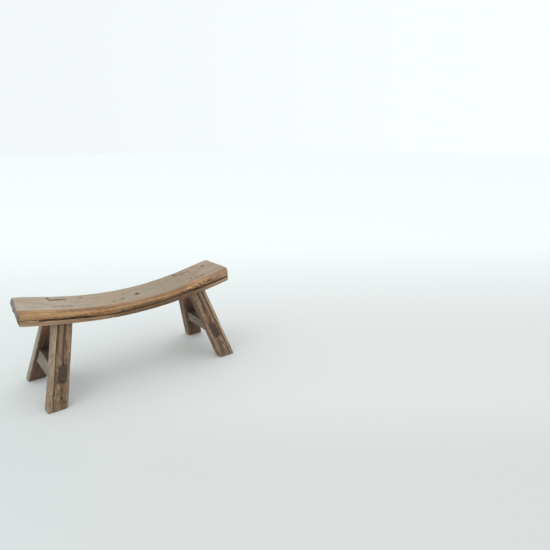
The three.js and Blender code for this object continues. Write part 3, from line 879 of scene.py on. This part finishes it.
# ------------------------------------------------------------------------------------------------
# Stretchers
# ------------------------------------------------------------------------------------------------
def make_stretcher(name, sx, material, seed):
    nu, nz, nv = 22, 24, 76
    ijk, faces = lattice(nu, nz, nv)
    a, b, c = ijk[:, 0] / nu, ijk[:, 1] / nz, ijk[:, 2] / nv
    U = ST_U0 + a * (ST_U1 - ST_U0)
    Z = ST_Z0 + b * (ST_Z1 - ST_Z0)
    V = c * 2 - 1
    # softened long arrises
    mu, mz = (ST_U0 + ST_U1) / 2, (ST_Z0 + ST_Z1) / 2
    hu, hz = (ST_U1 - ST_U0) / 2, (ST_Z1 - ST_Z0) / 2
    du, dz = np.abs(U - mu) - (hu - 2.2), np.abs(Z - mz) - (hz - 2.2)
    both = (du > 0) & (dz > 0)
    r = np.hypot(np.maximum(du, 0), np.maximum(dz, 0))
    k = np.where(both & (r > 1e-6), np.minimum(1.0, 2.2 / np.maximum(r, 1e-6)), 1.0)
    U = np.where(both, mu + np.sign(U - mu) * (hu - 2.2 + du * k), U)
    Z = np.where(both, mz + np.sign(Z - mz) * (hz - 2.2 + dz * k), Z)
    yend = FOOT_Y - RAKE_Y * Z - LT - 0.25
    Y = V * yend
    q3 = np.stack([Y, U, Z], -1) + seed * 53.0
    out_u, out_z = (U - mu) / hu, (Z - mz) / hz
    su = np.where(np.abs(out_u) > 0.985, np.sign(out_u), 0)
    sz = np.where(np.abs(out_z) > 0.985, np.sign(out_z), 0)
    n = np.maximum(np.hypot(su, sz), 1)
    disp = 0.30 * fbm(q3, (34, 9, 9), 171, 2) + 0.10 * fbm(q3, (10, 4, 4), 173, 2) - 0.1
    arr = both.astype(float)
    disp -= arr * 0.7 * np.clip(noise(q3, (11, 900, 900), 179), 0, 1)
    rng = np.random.default_rng(90 + seed)
    hole = np.zeros_like(U)
    for _ in range(18):
        py, pz, d0 = rng.uniform(-40, 40), rng.uniform(ST_Z0, ST_Z1), rng.uniform(0.2, 0.7)
        pu = rng.choice([ST_U0, ST_U1])
        rr = np.hypot((Y - py) / rng.uniform(1.2, 4), np.hypot(Z - pz, U - pu) / rng.uniform(0.8, 1.8))
        kk = ramp(-rr, -1, 0)
        disp -= kk * d0
        hole = np.maximum(hole, 0.6 * kk * d0)
    U = U + disp * su / n
    Z = Z + disp * sz / n
    P = np.stack([sx * (FOOT_X - RAKE_X * Z - U), Y, Z], -1)
    attrs = {
        "grain": np.stack([Y, U, Z], -1), "m_wear": arr, "m_hole": hole, "m_end": 0 * U,
        "m_top": ramp(out_z, 0.86, 0.97), "m_under": ramp(-out_z, 0.86, 0.97),
    }
    if sx < 0:
        faces = [f[::-1] for f in faces]
    ob = make_mesh("stretcher", P, faces, attrs)
    fix_faces(ob)
    # through tenons, cut off flush with the legs
    ni, nj, nk2 = 10, 20, 40
    ijk, faces = lattice(ni, nj, nk2)
    a, b, c = ijk[:, 0] / ni, ijk[:, 1] / nj, ijk[:, 2] / nk2
    U = ST_TU0 + a * (ST_TU1 - ST_TU0)
    Z = ST_Z0 + 0.05 + b * (ST_Z1 - ST_Z0 - 0.1)
    # full section only in the outer part of the mortise, so that nothing breaks out of the bar itself
    slim = np.where((ijk[:, 2] > 3) & (ijk[:, 2] < nk2 - 3), 1.1, 0.0)
    U = U - np.sign(a - 0.5) * np.minimum(slim, 1.1 * np.abs(a - 0.5) * 2)
    Z = Z - np.sign(b - 0.5) * np.minimum(slim, 1.1 * np.abs(b - 0.5) * 2)
    q3 = np.stack([U, Z, 0 * U], -1) + seed * 29.0 + (c[:, None] > 0.5) * 7.0
    cut = -0.12 + 0.25 * fbm(q3, (4, 7, 9), 181, 2)
    edge = np.minimum(np.minimum(U - ST_TU0, ST_TU1 - U), np.minimum(Z - ST_Z0, ST_Z1 - Z))
    cut -= 0.3 * ramp(-edge, -1.0, 0)
    Y = (c * 2 - 1) * (FOOT_Y - RAKE_Y * Z + LT + np.minimum(cut, 0.05))
    P = np.stack([sx * (FOOT_X - RAKE_X * Z - U), Y, Z], -1)
    endf = ((ijk[:, 2] == 0) | (ijk[:, 2] == nk2)).astype(float)
    attrs = {
        "grain": np.stack([Y, U, Z], -1), "m_wear": 0 * U, "m_hole": 0.55 * endf * ramp(-edge, -1.0, 0), "m_end": endf,
        "m_top": 0 * U, "m_under": 0 * U,
    }
    if sx < 0:
        faces = [f[::-1] for f in faces]
    tenon = make_mesh("st_tenon", P, faces, attrs, smooth=False)
    fix_faces(tenon)
    boolean(ob, tenon, "UNION")
    return finish_piece(ob, "stretcher_" + name, material)


# ------------------------------------------------------------------------------------------------
# Materials
# ------------------------------------------------------------------------------------------------
def lin(r, g, b):
    """8-bit display colour to scene colour."""
    out = []
    for v in (r, g, b):
        v = v / 255.0
        out.append(v / 12.92 if v <= 0.04045 else ((v + 0.055) / 1.055) ** 2.4)
    return (*out, 1.0)


class Tree:
    def __init__(self, name):
        self.mat = bpy.data.materials.new(name)
        self.mat.use_nodes = True
        self.nt = self.mat.node_tree
        self.nt.nodes.clear()

    def node(self, kind, **props):
        n = self.nt.nodes.new(kind)
        for k, v in props.items():
            setattr(n, k, v)
        return n

    def put(self, socket, value):
        if isinstance(value, bpy.types.NodeSocket):
            self.nt.links.new(value, socket)
        else:
            socket.default_value = value

    def attr(self, name, vector=False):
        n = self.node("ShaderNodeAttribute", attribute_type="GEOMETRY", attribute_name=name)
        return n.outputs["Vector"] if vector else n.outputs["Fac"]

    def math(self, op, a, b=0.0, clamp=False):
        n = self.node("ShaderNodeMath", operation=op, use_clamp=clamp)
        self.put(n.inputs[0], a)
        self.put(n.inputs[1], b)
        return n.outputs[0]

    def scale(self, v, xyz, shift=(0.0, 0.0, 0.0)):
        n = self.node("ShaderNodeMapping")
        self.put(n.inputs["Vector"], v)
        n.inputs["Scale"].default_value = xyz
        n.inputs["Location"].default_value = shift
        return n.outputs[0]

    def noise(self, v, xyz, detail=3.0, rough=0.5, distort=0.0, shift=(0.0, 0.0, 0.0)):
        n = self.node("ShaderNodeTexNoise", noise_dimensions="3D")
        self.put(n.inputs["Vector"], self.scale(v, xyz, shift))
        n.inputs["Scale"].default_value = 1.0
        n.inputs["Detail"].default_value = detail
        n.inputs["Roughness"].default_value = rough
        n.inputs["Distortion"].default_value = distort
        return n.outputs["Fac"]

    def span(self, v, a, b, lo=0.0, hi=1.0):
        n = self.node("ShaderNodeMapRange", interpolation_type="SMOOTHSTEP", clamp=True)
        self.put(n.inputs["Value"], v)
        n.inputs["From Min"].default_value = a
        n.inputs["From Max"].default_value = b
        n.inputs["To Min"].default_value = lo
        n.inputs["To Max"].default_value = hi
        return n.outputs["Result"]

    def mix(self, fac, a, b, mode="MIX"):
        n = self.node("ShaderNodeMix", data_type="RGBA", blend_type=mode)
        self.put(n.inputs[0], fac)
        self.put(n.inputs[6], a)
        self.put(n.inputs[7], b)
        return n.outputs[2]

    def bump(self, height, strength, distance, normal=None):
        n = self.node("ShaderNodeBump")
        n.inputs["Strength"].default_value = strength
        n.inputs["Distance"].default_value = distance
        self.put(n.inputs["Height"], height)
        if normal is not None:
            self.put(n.inputs["Normal"], normal)
        return n.outputs[0]

    def finish(self, color, rough, normal, specular=0.4, coat=0.0):
        p = self.node("ShaderNodeBsdfPrincipled")
        out = self.node("ShaderNodeOutputMaterial")
        self.put(p.inputs["Base Color"], color)
        self.put(p.inputs["Roughness"], rough)
        self.put(p.inputs["Normal"], normal)
        p.inputs["Specular IOR Level"].default_value = specular
        p.inputs["Coat Weight"].default_value = coat
        p.inputs["Coat Roughness"].default_value = 0.35
        self.nt.links.new(p.outputs[0], out.inputs[0])
        return self.mat


def grain_layers(t, g, seed):
    """The layers every piece shares: long streaks, fibres, pores, blotches and growth rings."""
    s = (seed * 3.7, seed * 5.1, seed * 2.3)
    return {
        "streak": t.noise(g, (0.010, 0.20, 0.20), 4.0, 0.55, 0.4, s),
        "bands": t.noise(g, (0.004, 0.075, 0.11), 2.0, 0.5, 0.3, s),
        "fibre": t.noise(g, (0.045, 1.5, 1.5), 4.0, 0.6, 0.2, s),
        "pore": t.noise(g, (0.16, 2.4, 2.4), 2.0, 0.5, 0.0, s),
        "blotch": t.noise(g, (0.022, 0.045, 0.045), 3.0, 0.55, 0.6, s),
        "spot": t.noise(g, (0.16, 0.30, 0.30), 3.0, 0.6, 0.5, s),
        "rings": t.noise(g, (0.002, 0.42, 0.42), 3.0, 0.45, 0.9, s),
        "speck": t.noise(g, (1.3, 1.7, 1.7), 2.0, 0.5, 0.0, s),
        "patch": t.noise(g, (0.016, 0.030, 0.030), 2.0, 0.5, 0.8, (s[0] + 9, s[1], s[2])),
        "mottle": t.noise(g, (0.055, 0.16, 0.16), 4.0, 0.6, 1.2, (s[0], s[1] + 7, s[2])),
    }


def surface(t, L, end, extra_rough=0.0):
    """Bump for long grain, or for sawn end grain where end is 1."""
    h = t.math("ADD", t.math("MULTIPLY", L["fibre"], 0.55), t.math("MULTIPLY", t.span(L["pore"], 0.60, 0.72), -0.45))
    h = t.math("ADD", h, t.math("MULTIPLY", L["streak"], 0.5))
    he = t.math("ADD", t.math("MULTIPLY", L["rings"], 0.8), t.math("MULTIPLY", L["speck"], 0.5))
    m = t.node("ShaderNodeMix", data_type="FLOAT")
    t.put(m.inputs[0], end)
    t.put(m.inputs[2], h)
    t.put(m.inputs[3], he)
    n1 = t.bump(m.outputs[0], 0.55, 0.00035)
    return t.bump(L["spot"], 0.35, 0.0006, n1)


# the plank's top is toned darker and its edges, ends and underside lighter: painted shade on the top, painted light on
# the other faces; the top also darkens towards the right
PLANK_TOP_TONE, PLANK_EDGE_PAINTED_LIGHT, LEG_TONE = (0.91, 0.88, 0.845, 1.0), (1.21, 1.16, 1.08, 1.0), (1.12, 1.07, 1.03, 1.0)


def plank_material():
    t = Tree("plank_wood")
    g = t.attr("grain", True)
    L = grain_layers(t, g, 1)
    top, wear, dirt = t.attr("m_top"), t.attr("m_wear"), t.attr("m_dirt")
    hole, end, bead, under, lower_edge_darkening = t.attr("m_hole"), t.attr("m_end"), t.attr("m_bead"), t.attr("m_under"), t.attr("m_dark_lower_edge")
    axes = t.node("ShaderNodeSeparateXYZ")
    t.put(axes.inputs[0], g)
    along = axes.outputs[0]
    # bare aged wood
    wood = t.mix(t.span(L["streak"], 0.32, 0.68), lin(138, 112, 86), lin(172, 146, 116))
    wood = t.mix(t.span(L["bands"], 0.40, 0.64), wood, t.mix(1.0, wood, lin(226, 214, 200), "MULTIPLY"))
    # grey, worn patina on top
    far_end = t.span(along, 285.0, 335.0)
    wood = t.mix(far_end, wood, t.mix(t.span(L["mottle"], 0.40, 0.62), lin(154, 128, 110), lin(124, 99, 79)))
    grey = t.mix(t.span(L["streak"], 0.25, 0.75), lin(156, 140, 122), lin(174, 160, 141))
    grey = t.mix(t.math("MULTIPLY", t.span(L["blotch"], 0.44, 0.62), 0.6), grey, lin(182, 156, 132))
    grey = t.mix(t.math("MULTIPLY", t.span(L["bands"], 0.50, 0.62), 0.6), grey, lin(162, 156, 130))
    cool = t.math("MULTIPLY", t.span(along, 30.0, 120.0, 1.0, 0.0), t.span(L["patch"], 0.34, 0.58))
    grey = t.mix(t.math("MULTIPLY", cool, 0.65), grey, lin(180, 174, 162))
    warm = t.math("MULTIPLY", t.span(along, 180.0, 300.0), t.span(L["patch"], 0.62, 0.40))
    grey = t.mix(t.math("MULTIPLY", warm, 0.65), grey, lin(154, 136, 116))
    grey = t.mix(t.math("MULTIPLY", t.span(L["patch"], 0.56, 0.66), 0.55), grey, lin(148, 142, 118))
    grey = t.mix(t.math("MULTIPLY", t.span(L["patch"], 0.44, 0.34), 0.55), grey, lin(174, 150, 134))
    grey = t.mix(t.math("MULTIPLY", t.span(L["mottle"], 0.54, 0.68), 0.38), grey, lin(136, 122, 104))
    pinkish = t.math("MULTIPLY", far_end, t.span(L["patch"], 0.36, 0.56))
    grey = t.mix(t.math("MULTIPLY", pinkish, 0.6), grey, lin(182, 158, 142))
    color = t.mix(t.math("MULTIPLY", top, 0.93), wood, grey)
    # rubbed golden edge
    gold = t.mix(t.span(L["spot"], 0.36, 0.64), lin(160, 124, 86), lin(190, 154, 110))
    gold = t.mix(t.span(L["blotch"], 0.42, 0.62), t.mix(1.0, gold, lin(218, 204, 196), "MULTIPLY"), gold)
    gold = t.mix(t.math("MULTIPLY", t.span(L["streak"], 0.50, 0.66), 0.75), gold, lin(132, 98, 70))
    gold = t.mix(t.math("MULTIPLY", t.span(L["mottle"], 0.50, 0.64), 0.55), gold, lin(140, 116, 90))
    middle = t.math("MULTIPLY", t.span(along, 60.0, 130.0), t.span(along, 260.0, 320.0, 1.0, 0.0))
    gold = t.mix(t.math("MULTIPLY", middle, 0.95), gold, t.mix(1.0, gold, lin(226, 220, 215), "MULTIPLY"))
    color = t.mix(t.math("MULTIPLY", wear, t.span(L["patch"], 0.30, 0.50, 0.72, 1.0)), color, gold)
    color = t.mix(t.math("MULTIPLY", t.attr("m_dark_arris_line"), t.span(L["mottle"], 0.35, 0.62, 0.66, 0.42)), color, lin(112, 84, 60))
    # painted highlight on the nose of the front edge
    color = t.mix(t.math("MULTIPLY", t.attr("m_nose_highlight"), t.span(L["mottle"], 0.35, 0.62, 0.80, 0.45)), color, lin(182, 148, 112))
    color = t.mix(t.math("MULTIPLY", t.attr("m_olive"), t.span(L["spot"], 0.35, 0.6, 0.60, 0.92)), color, lin(122, 112, 74))
    # pale splinter wood, and painted highlights on the front edge
    color = t.mix(t.math("MULTIPLY", t.attr("m_pale_and_highlight"), 0.85), color, lin(214, 180, 148))
    beadc = t.mix(t.span(L["streak"], 0.35, 0.65), lin(134, 106, 84), lin(164, 138, 114))
    ends = t.math("ADD", t.span(along, 30.0, 60.0, 1.0, 0.0), t.span(along, 300.0, 325.0), True)
    beadc = t.mix(t.math("MULTIPLY", ends, 0.55), beadc, lin(174, 148, 124))
    color = t.mix(t.math("MULTIPLY", t.math("MULTIPLY", bead, t.math("SUBTRACT", 1.0, t.attr("m_pale_and_highlight"))), 0.85), color, beadc)
    color = t.mix(t.math("MULTIPLY", lower_edge_darkening, t.span(L["spot"], 0.30, 0.66, 0.92, 0.68)), color, t.mix(t.span(L["mottle"], 0.42, 0.60), lin(86, 64, 43), lin(100, 78, 56)))
    lowc = t.mix(t.span(L["streak"], 0.35, 0.65), lin(126, 98, 74), lin(156, 130, 104))
    color = t.mix(under, color, lowc)
    # end grain
    endc = t.mix(t.span(L["rings"], 0.40, 0.60), lin(104, 94, 90), lin(124, 114, 109))
    endc = t.mix(t.math("MULTIPLY", t.span(L["mottle"], 0.48, 0.64), 0.6), endc, lin(96, 82, 74))
    endc = t.mix(t.math("MULTIPLY", t.span(L["speck"], 0.55, 0.75), 0.5), endc, lin(66, 58, 54))
    endc = t.mix(t.math("MULTIPLY", t.span(axes.outputs[2], 7.0, 19.0), t.span(along, 100.0, 200.0, 1.0, 0.35)), endc, t.mix(1.0, endc, lin(184, 182, 178), "MULTIPLY"))
    color = t.mix(end, color, endc)
    # fibres and pores
    fib = t.span(L["fibre"], 0.34, 0.62, 0.88, 1.05)
    comb = t.node("ShaderNodeCombineColor")
    for i in range(3):
        t.put(comb.inputs[i], fib)
    color = t.mix(1.0, color, comb.outputs[0], "MULTIPLY")
    color = t.mix(t.math("MULTIPLY", t.span(L["pore"], 0.62, 0.74), 0.30), color, lin(92, 74, 58))
    color = t.mix(t.math("MULTIPLY", t.span(L["spot"], 0.60, 0.76), 0.22), color, lin(112, 98, 84))
    # dirt in the mouldings, holes and cracks
    dm = t.math("MULTIPLY", dirt, t.span(L["spot"], 0.20, 0.62, 1.0, 0.72))
    color = t.mix(dm, color, t.mix(t.span(L["mottle"], 0.4, 0.6), lin(58, 35, 26), lin(48, 30, 22)))
    color = t.mix(t.math("MULTIPLY", hole, 0.94), color, lin(48, 37, 29))
    tone = t.mix(t.span(along, 90.0, 250.0), PLANK_TOP_TONE, tuple(v * 0.90 for v in PLANK_TOP_TONE[:3]) + (1.0,))
    tone = t.mix(t.span(along, 290.0, 350.0), tone, tuple(v * 0.95 for v in PLANK_TOP_TONE[:3]) + (1.0,))
    # painted shade on the top, painted light on the other faces
    color = t.mix(1.0, color, t.mix(top, PLANK_EDGE_PAINTED_LIGHT, tone), "MULTIPLY")
    rough = t.span(L["blotch"], 0.3, 0.7, 0.52, 0.68)
    rough = t.math("ADD", rough, t.math("MULTIPLY", dirt, 0.25), True)
    return t.finish(color, rough, surface(t, L, end), 0.38)


def leg_material():
    t = Tree("leg_wood")
    g = t.attr("grain", True)
    L = grain_layers(t, g, 2)
    wear, dirt, hole, bead = t.attr("m_wear"), t.attr("m_dirt"), t.attr("m_hole"), t.attr("m_bead")
    foot, left, inner, end = t.attr("m_foot"), t.attr("m_left"), t.attr("m_inner"), t.attr("m_end")
    color = t.mix(t.span(L["streak"], 0.36, 0.62), lin(104, 80, 62), lin(148, 124, 100))
    color = t.mix(t.math("MULTIPLY", t.span(L["blotch"], 0.46, 0.68), 0.5), color, lin(142, 124, 104))
    color = t.mix(t.math("MULTIPLY", t.span(L["patch"], 0.50, 0.60), 0.55), color, lin(128, 118, 94))
    color = t.mix(t.math("MULTIPLY", t.span(L["mottle"], 0.50, 0.60), 0.8), color, lin(104, 76, 60))
    # painted highlight on the beads
    bead_highlight = t.mix(t.span(L["mottle"], 0.42, 0.62), lin(180, 160, 134), lin(146, 120, 98))
    color = t.mix(t.math("MULTIPLY", bead, 0.72), color, bead_highlight)
    # painted highlight line beside the left groove
    color = t.mix(t.math("MULTIPLY", t.attr("m_highlight_line"), t.span(L["spot"], 0.30, 0.55, 0.35, 0.85)), color, lin(198, 178, 152))
    # painted light: the outer end face of each leg is painted lighter, as if lit from the left
    outer_face_painted_light = t.mix(t.span(L["mottle"], 0.42, 0.62), lin(172, 160, 142), lin(138, 122, 104))
    color = t.mix(t.math("MULTIPLY", left, 0.7), color, outer_face_painted_light)
    # painted light: on the back left leg that face is painted a light grey
    color = t.mix(t.math("MULTIPLY", t.attr("m_lit_grey_face"), 0.85), color, t.mix(t.span(L["mottle"], 0.40, 0.62), lin(166, 165, 158), lin(146, 140, 128)))
    # painted shade: the inner faces under the plank are painted dark, and lighter again near the plank
    inner_face_shade = t.mix(t.span(L["streak"], 0.4, 0.6), lin(66, 46, 40), lin(94, 72, 62))
    color = t.mix(t.math("MULTIPLY", inner, 0.88), color, inner_face_shade)
    color = t.mix(t.math("MULTIPLY", t.attr("m_lit"), 0.8), color, t.mix(t.span(L["streak"], 0.4, 0.6), lin(130, 88, 72), lin(152, 110, 90)))
    rub = t.math("MULTIPLY", wear, t.span(L["spot"], 0.38, 0.62))
    color = t.mix(t.math("MULTIPLY", rub, 0.45), color, lin(182, 152, 118))
    endc = t.mix(t.span(L["rings"], 0.42, 0.60), lin(96, 78, 62), lin(142, 122, 100))
    endc = t.mix(t.math("MULTIPLY", t.span(L["speck"], 0.52, 0.72), 0.6), endc, lin(84, 68, 54))
    cap = t.attr("m_cap")
    capc = t.mix(t.span(L["spot"], 0.36, 0.64), lin(142, 126, 108), lin(172, 156, 134))
    capc = t.mix(t.math("MULTIPLY", t.span(L["speck"], 0.54, 0.72), 0.3), capc, lin(108, 92, 76))
    endc = t.mix(cap, endc, capc)
    color = t.mix(end, color, endc)
    fib = t.span(L["fibre"], 0.36, 0.60, 0.74, 1.08)
    comb = t.node("ShaderNodeCombineColor")
    for i in range(3):
        t.put(comb.inputs[i], fib)
    color = t.mix(1.0, color, comb.outputs[0], "MULTIPLY")
    color = t.mix(t.math("MULTIPLY", t.span(L["pore"], 0.58, 0.70), 0.5), color, lin(74, 56, 42))
    color = t.mix(t.math("MULTIPLY", t.span(L["spot"], 0.56, 0.74), 0.35), color, lin(92, 74, 60))
    dm = t.math("MULTIPLY", dirt, t.span(L["mottle"], 0.30, 0.66, 0.85, 0.42))
    color = t.mix(dm, color, lin(66, 46, 34))
    fm = t.math("MULTIPLY", foot, t.span(L["spot"], 0.40, 0.60, 0.20, 0.60))
    color = t.mix(fm, color, lin(106, 92, 72))
    color = t.mix(t.math("MULTIPLY", hole, 0.9), color, lin(46, 35, 28))
    color = t.mix(1.0, color, LEG_TONE, "MULTIPLY")
    rough = t.span(L["blotch"], 0.3, 0.7, 0.60, 0.76)
    return t.finish(color, rough, surface(t, L, end), 0.32)


def stretcher_material():
    t = Tree("stretcher_wood")
    g = t.attr("grain", True)
    L = grain_layers(t, g, 3)
    wear, hole, end, top, under = t.attr("m_wear"), t.attr("m_hole"), t.attr("m_end"), t.attr("m_top"), t.attr("m_under")
    color = t.mix(t.span(L["streak"], 0.34, 0.66), lin(116, 102, 88), lin(152, 142, 128))
    color = t.mix(t.math("MULTIPLY", t.span(L["blotch"], 0.46, 0.68), 0.5), color, lin(138, 128, 114))
    color = t.mix(t.math("MULTIPLY", wear, 0.4), color, lin(160, 142, 118))
    # the top face is painted dark: grime, and painted shade under the plank
    color = t.mix(t.math("MULTIPLY", top, 0.88), color, lin(62, 54, 46))
    color = t.mix(t.math("MULTIPLY", under, 0.5), color, lin(112, 92, 74))
    endc = t.mix(t.span(L["rings"], 0.42, 0.60), lin(70, 54, 46), lin(92, 74, 66))
    endc = t.mix(t.math("MULTIPLY", t.span(L["speck"], 0.52, 0.72), 0.4), endc, lin(58, 45, 38))
    color = t.mix(end, color, endc)
    fib = t.span(L["fibre"], 0.36, 0.60, 0.78, 1.06)
    comb = t.node("ShaderNodeCombineColor")
    for i in range(3):
        t.put(comb.inputs[i], fib)
    color = t.mix(1.0, color, comb.outputs[0], "MULTIPLY")
    color = t.mix(t.math("MULTIPLY", t.span(L["pore"], 0.58, 0.70), 0.45), color, lin(70, 56, 44))
    color = t.mix(t.math("MULTIPLY", hole, 0.9), color, lin(46, 36, 30))
    rough = t.span(L["blotch"], 0.3, 0.7, 0.64, 0.80)
    return t.finish(color, rough, surface(t, L, end), 0.3)


def wedge_material():
    t = Tree("wedge_wood")
    g = t.attr("grain", True)
    L = grain_layers(t, g, 4)
    color = t.mix(t.span(L["spot"], 0.36, 0.64), lin(128, 112, 94), lin(156, 140, 120))
    color = t.mix(t.math("MULTIPLY", t.span(L["speck"], 0.54, 0.72), 0.4), color, lin(92, 76, 60))
    return t.finish(color, t.span(L["spot"], 0.3, 0.7, 0.66, 0.82), surface(t, L, t.attr("m_end")), 0.3)


# ------------------------------------------------------------------------------------------------
# Build
# ------------------------------------------------------------------------------------------------
PLANK_MAT, LEG_MAT, STRETCHER_MAT, WEDGE_MAT = plank_material(), leg_material(), stretcher_material(), wedge_material()
pieces = [(make_plank(PLANK_MAT), "plank_wood")]
for i, (name, sx, sy) in enumerate(CORNERS):
    pieces.append((make_leg(name, sx, sy, LEG_MAT, i + 1), "leg_wood"))
    pieces.append((make_wedge(name, sx, sy, WEDGE_MAT, i + 1), "wedge_wood"))
pieces.append((make_stretcher("left", -1, STRETCHER_MAT, 1), "stretcher_wood"))
pieces.append((make_stretcher("right", 1, STRETCHER_MAT, 2), "stretcher_wood"))


# ------------------------------------------------------------------------------------------------
# Floor and light
# ------------------------------------------------------------------------------------------------
# the floor is painted lighter towards the back and darker near the camera: painted light and painted shade
FLOOR_LEFT, FLOOR_RIGHT, FLOOR_FAR_PAINTED_LIGHT = (0.665, 0.690, 0.682, 1.0), (0.672, 0.675, 0.660, 1.0), (0.840, 0.870, 0.870, 1.0)


def make_floor():
    n = 96
    me = bpy.data.meshes.new("floor")
    ring = [(6.0 * math.cos(2 * math.pi * i / n), 6.0 * math.sin(2 * math.pi * i / n), 0.0) for i in range(n)]
    me.from_pydata(ring, [], [tuple(range(n))])
    ob = bpy.data.objects.new("floor", me)
    bpy.context.scene.collection.objects.link(ob)
    ob.location.z = -0.0002
    t = Tree("floor_paper")
    pos = t.node("ShaderNodeTexCoord").outputs["Object"]
    depth = t.node("ShaderNodeVectorMath", operation="DOT_PRODUCT")
    t.put(depth.inputs[0], pos)
    depth.inputs[1].default_value = (0.606, 0.795, 0.0)
    side = t.node("ShaderNodeVectorMath", operation="DOT_PRODUCT")
    t.put(side.inputs[0], pos)
    side.inputs[1].default_value = (0.795, -0.606, 0.0)
    # painted light: the floor grows lighter towards the back
    far = t.span(depth.outputs["Value"], 0.02, 1.05)
    grain = t.noise(pos, (9.0, 9.0, 9.0), 3.0, 0.5)
    near_c = t.mix(t.span(grain, 0.3, 0.7), FLOOR_LEFT, tuple(min(1.0, v * 1.015) for v in FLOOR_LEFT))
    near_c = t.mix(t.span(side.outputs["Value"], -0.35, 0.45), near_c, FLOOR_RIGHT)
    # painted shade: the floor near the camera is darkened by 8 percent
    near_c = t.mix(t.span(depth.outputs["Value"], -0.10, -0.30), near_c, t.mix(1.0, near_c, (0.92, 0.92, 0.92, 1.0), "MULTIPLY"))
    color = t.mix(far, near_c, FLOOR_FAR_PAINTED_LIGHT)
    fine = t.noise(pos, (420.0, 420.0, 420.0), 2.0, 0.5)
    mat = t.finish(color, 0.85, t.bump(fine, 0.08, 0.0002), 0.2)
    me.materials.append(mat)


WORLD_NEAR, WORLD_FAR, WORLD_UP = 0.90, 0.985, 1.27


def make_lights():
    world = bpy.data.worlds.new("studio")
    bpy.context.scene.world = world
    world.use_nodes = True
    nt = world.node_tree
    bg = nt.nodes["Background"]
    bg.inputs["Color"].default_value = (0.945, 0.985, 0.995, 1.0)
    where = nt.nodes.new("ShaderNodeTexCoord").outputs["Generated"]

    def toward(direction, a, b, lo, hi):
        dot = nt.nodes.new("ShaderNodeVectorMath")
        dot.operation = "DOT_PRODUCT"
        nt.links.new(where, dot.inputs[0])
        dot.inputs[1].default_value = direction
        mr = nt.nodes.new("ShaderNodeMapRange")
        mr.interpolation_type = "SMOOTHSTEP"
        nt.links.new(dot.outputs["Value"], mr.inputs["Value"])
        for key, v in (("From Min", a), ("From Max", b), ("To Min", lo), ("To Max", hi)):
            mr.inputs[key].default_value = v
        return mr.outputs["Result"]

    # a soft box over and behind the object; the room is dimmer on the near side
    back = toward((0.606, 0.795, 0.0), -0.9, 0.75, WORLD_NEAR, WORLD_FAR)
    across = toward((0.795, -0.606, 0.0), -0.5, 0.5, 0.965, 1.035)
    strength = toward((0.0, 0.0, 1.0), 0.20, 0.75, 1.0, WORLD_UP)
    for part in (back, across):
        mul = nt.nodes.new("ShaderNodeMath")
        mul.operation = "MULTIPLY"
        nt.links.new(strength, mul.inputs[0])
        nt.links.new(part, mul.inputs[1])
        strength = mul.outputs[0]
    nt.links.new(strength, bg.inputs["Strength"])

    def area(name, loc, target, size, power, color):
        data = bpy.data.lights.new(name, "AREA")
        data.shape = "SQUARE"
        data.size = size
        data.energy = power
        data.color = color
        ob = bpy.data.objects.new(name, data)
        bpy.context.scene.collection.objects.link(ob)
        ob.location = loc
        ob.rotation_euler = (Vector(target) - Vector(loc)).to_track_quat("-Z", "Y").to_euler()

    area("key", (-1.3, 0.1, 2.1), (0, 0, 0.08), 1.7, 6, (1.0, 0.985, 0.96))


make_floor()
make_lights()
scene = bpy.context.scene
scene.view_settings.view_transform = "Standard"
scene.view_settings.look = "None"
scene.view_settings.exposure = 0.0
scene.view_settings.gamma = 1.0
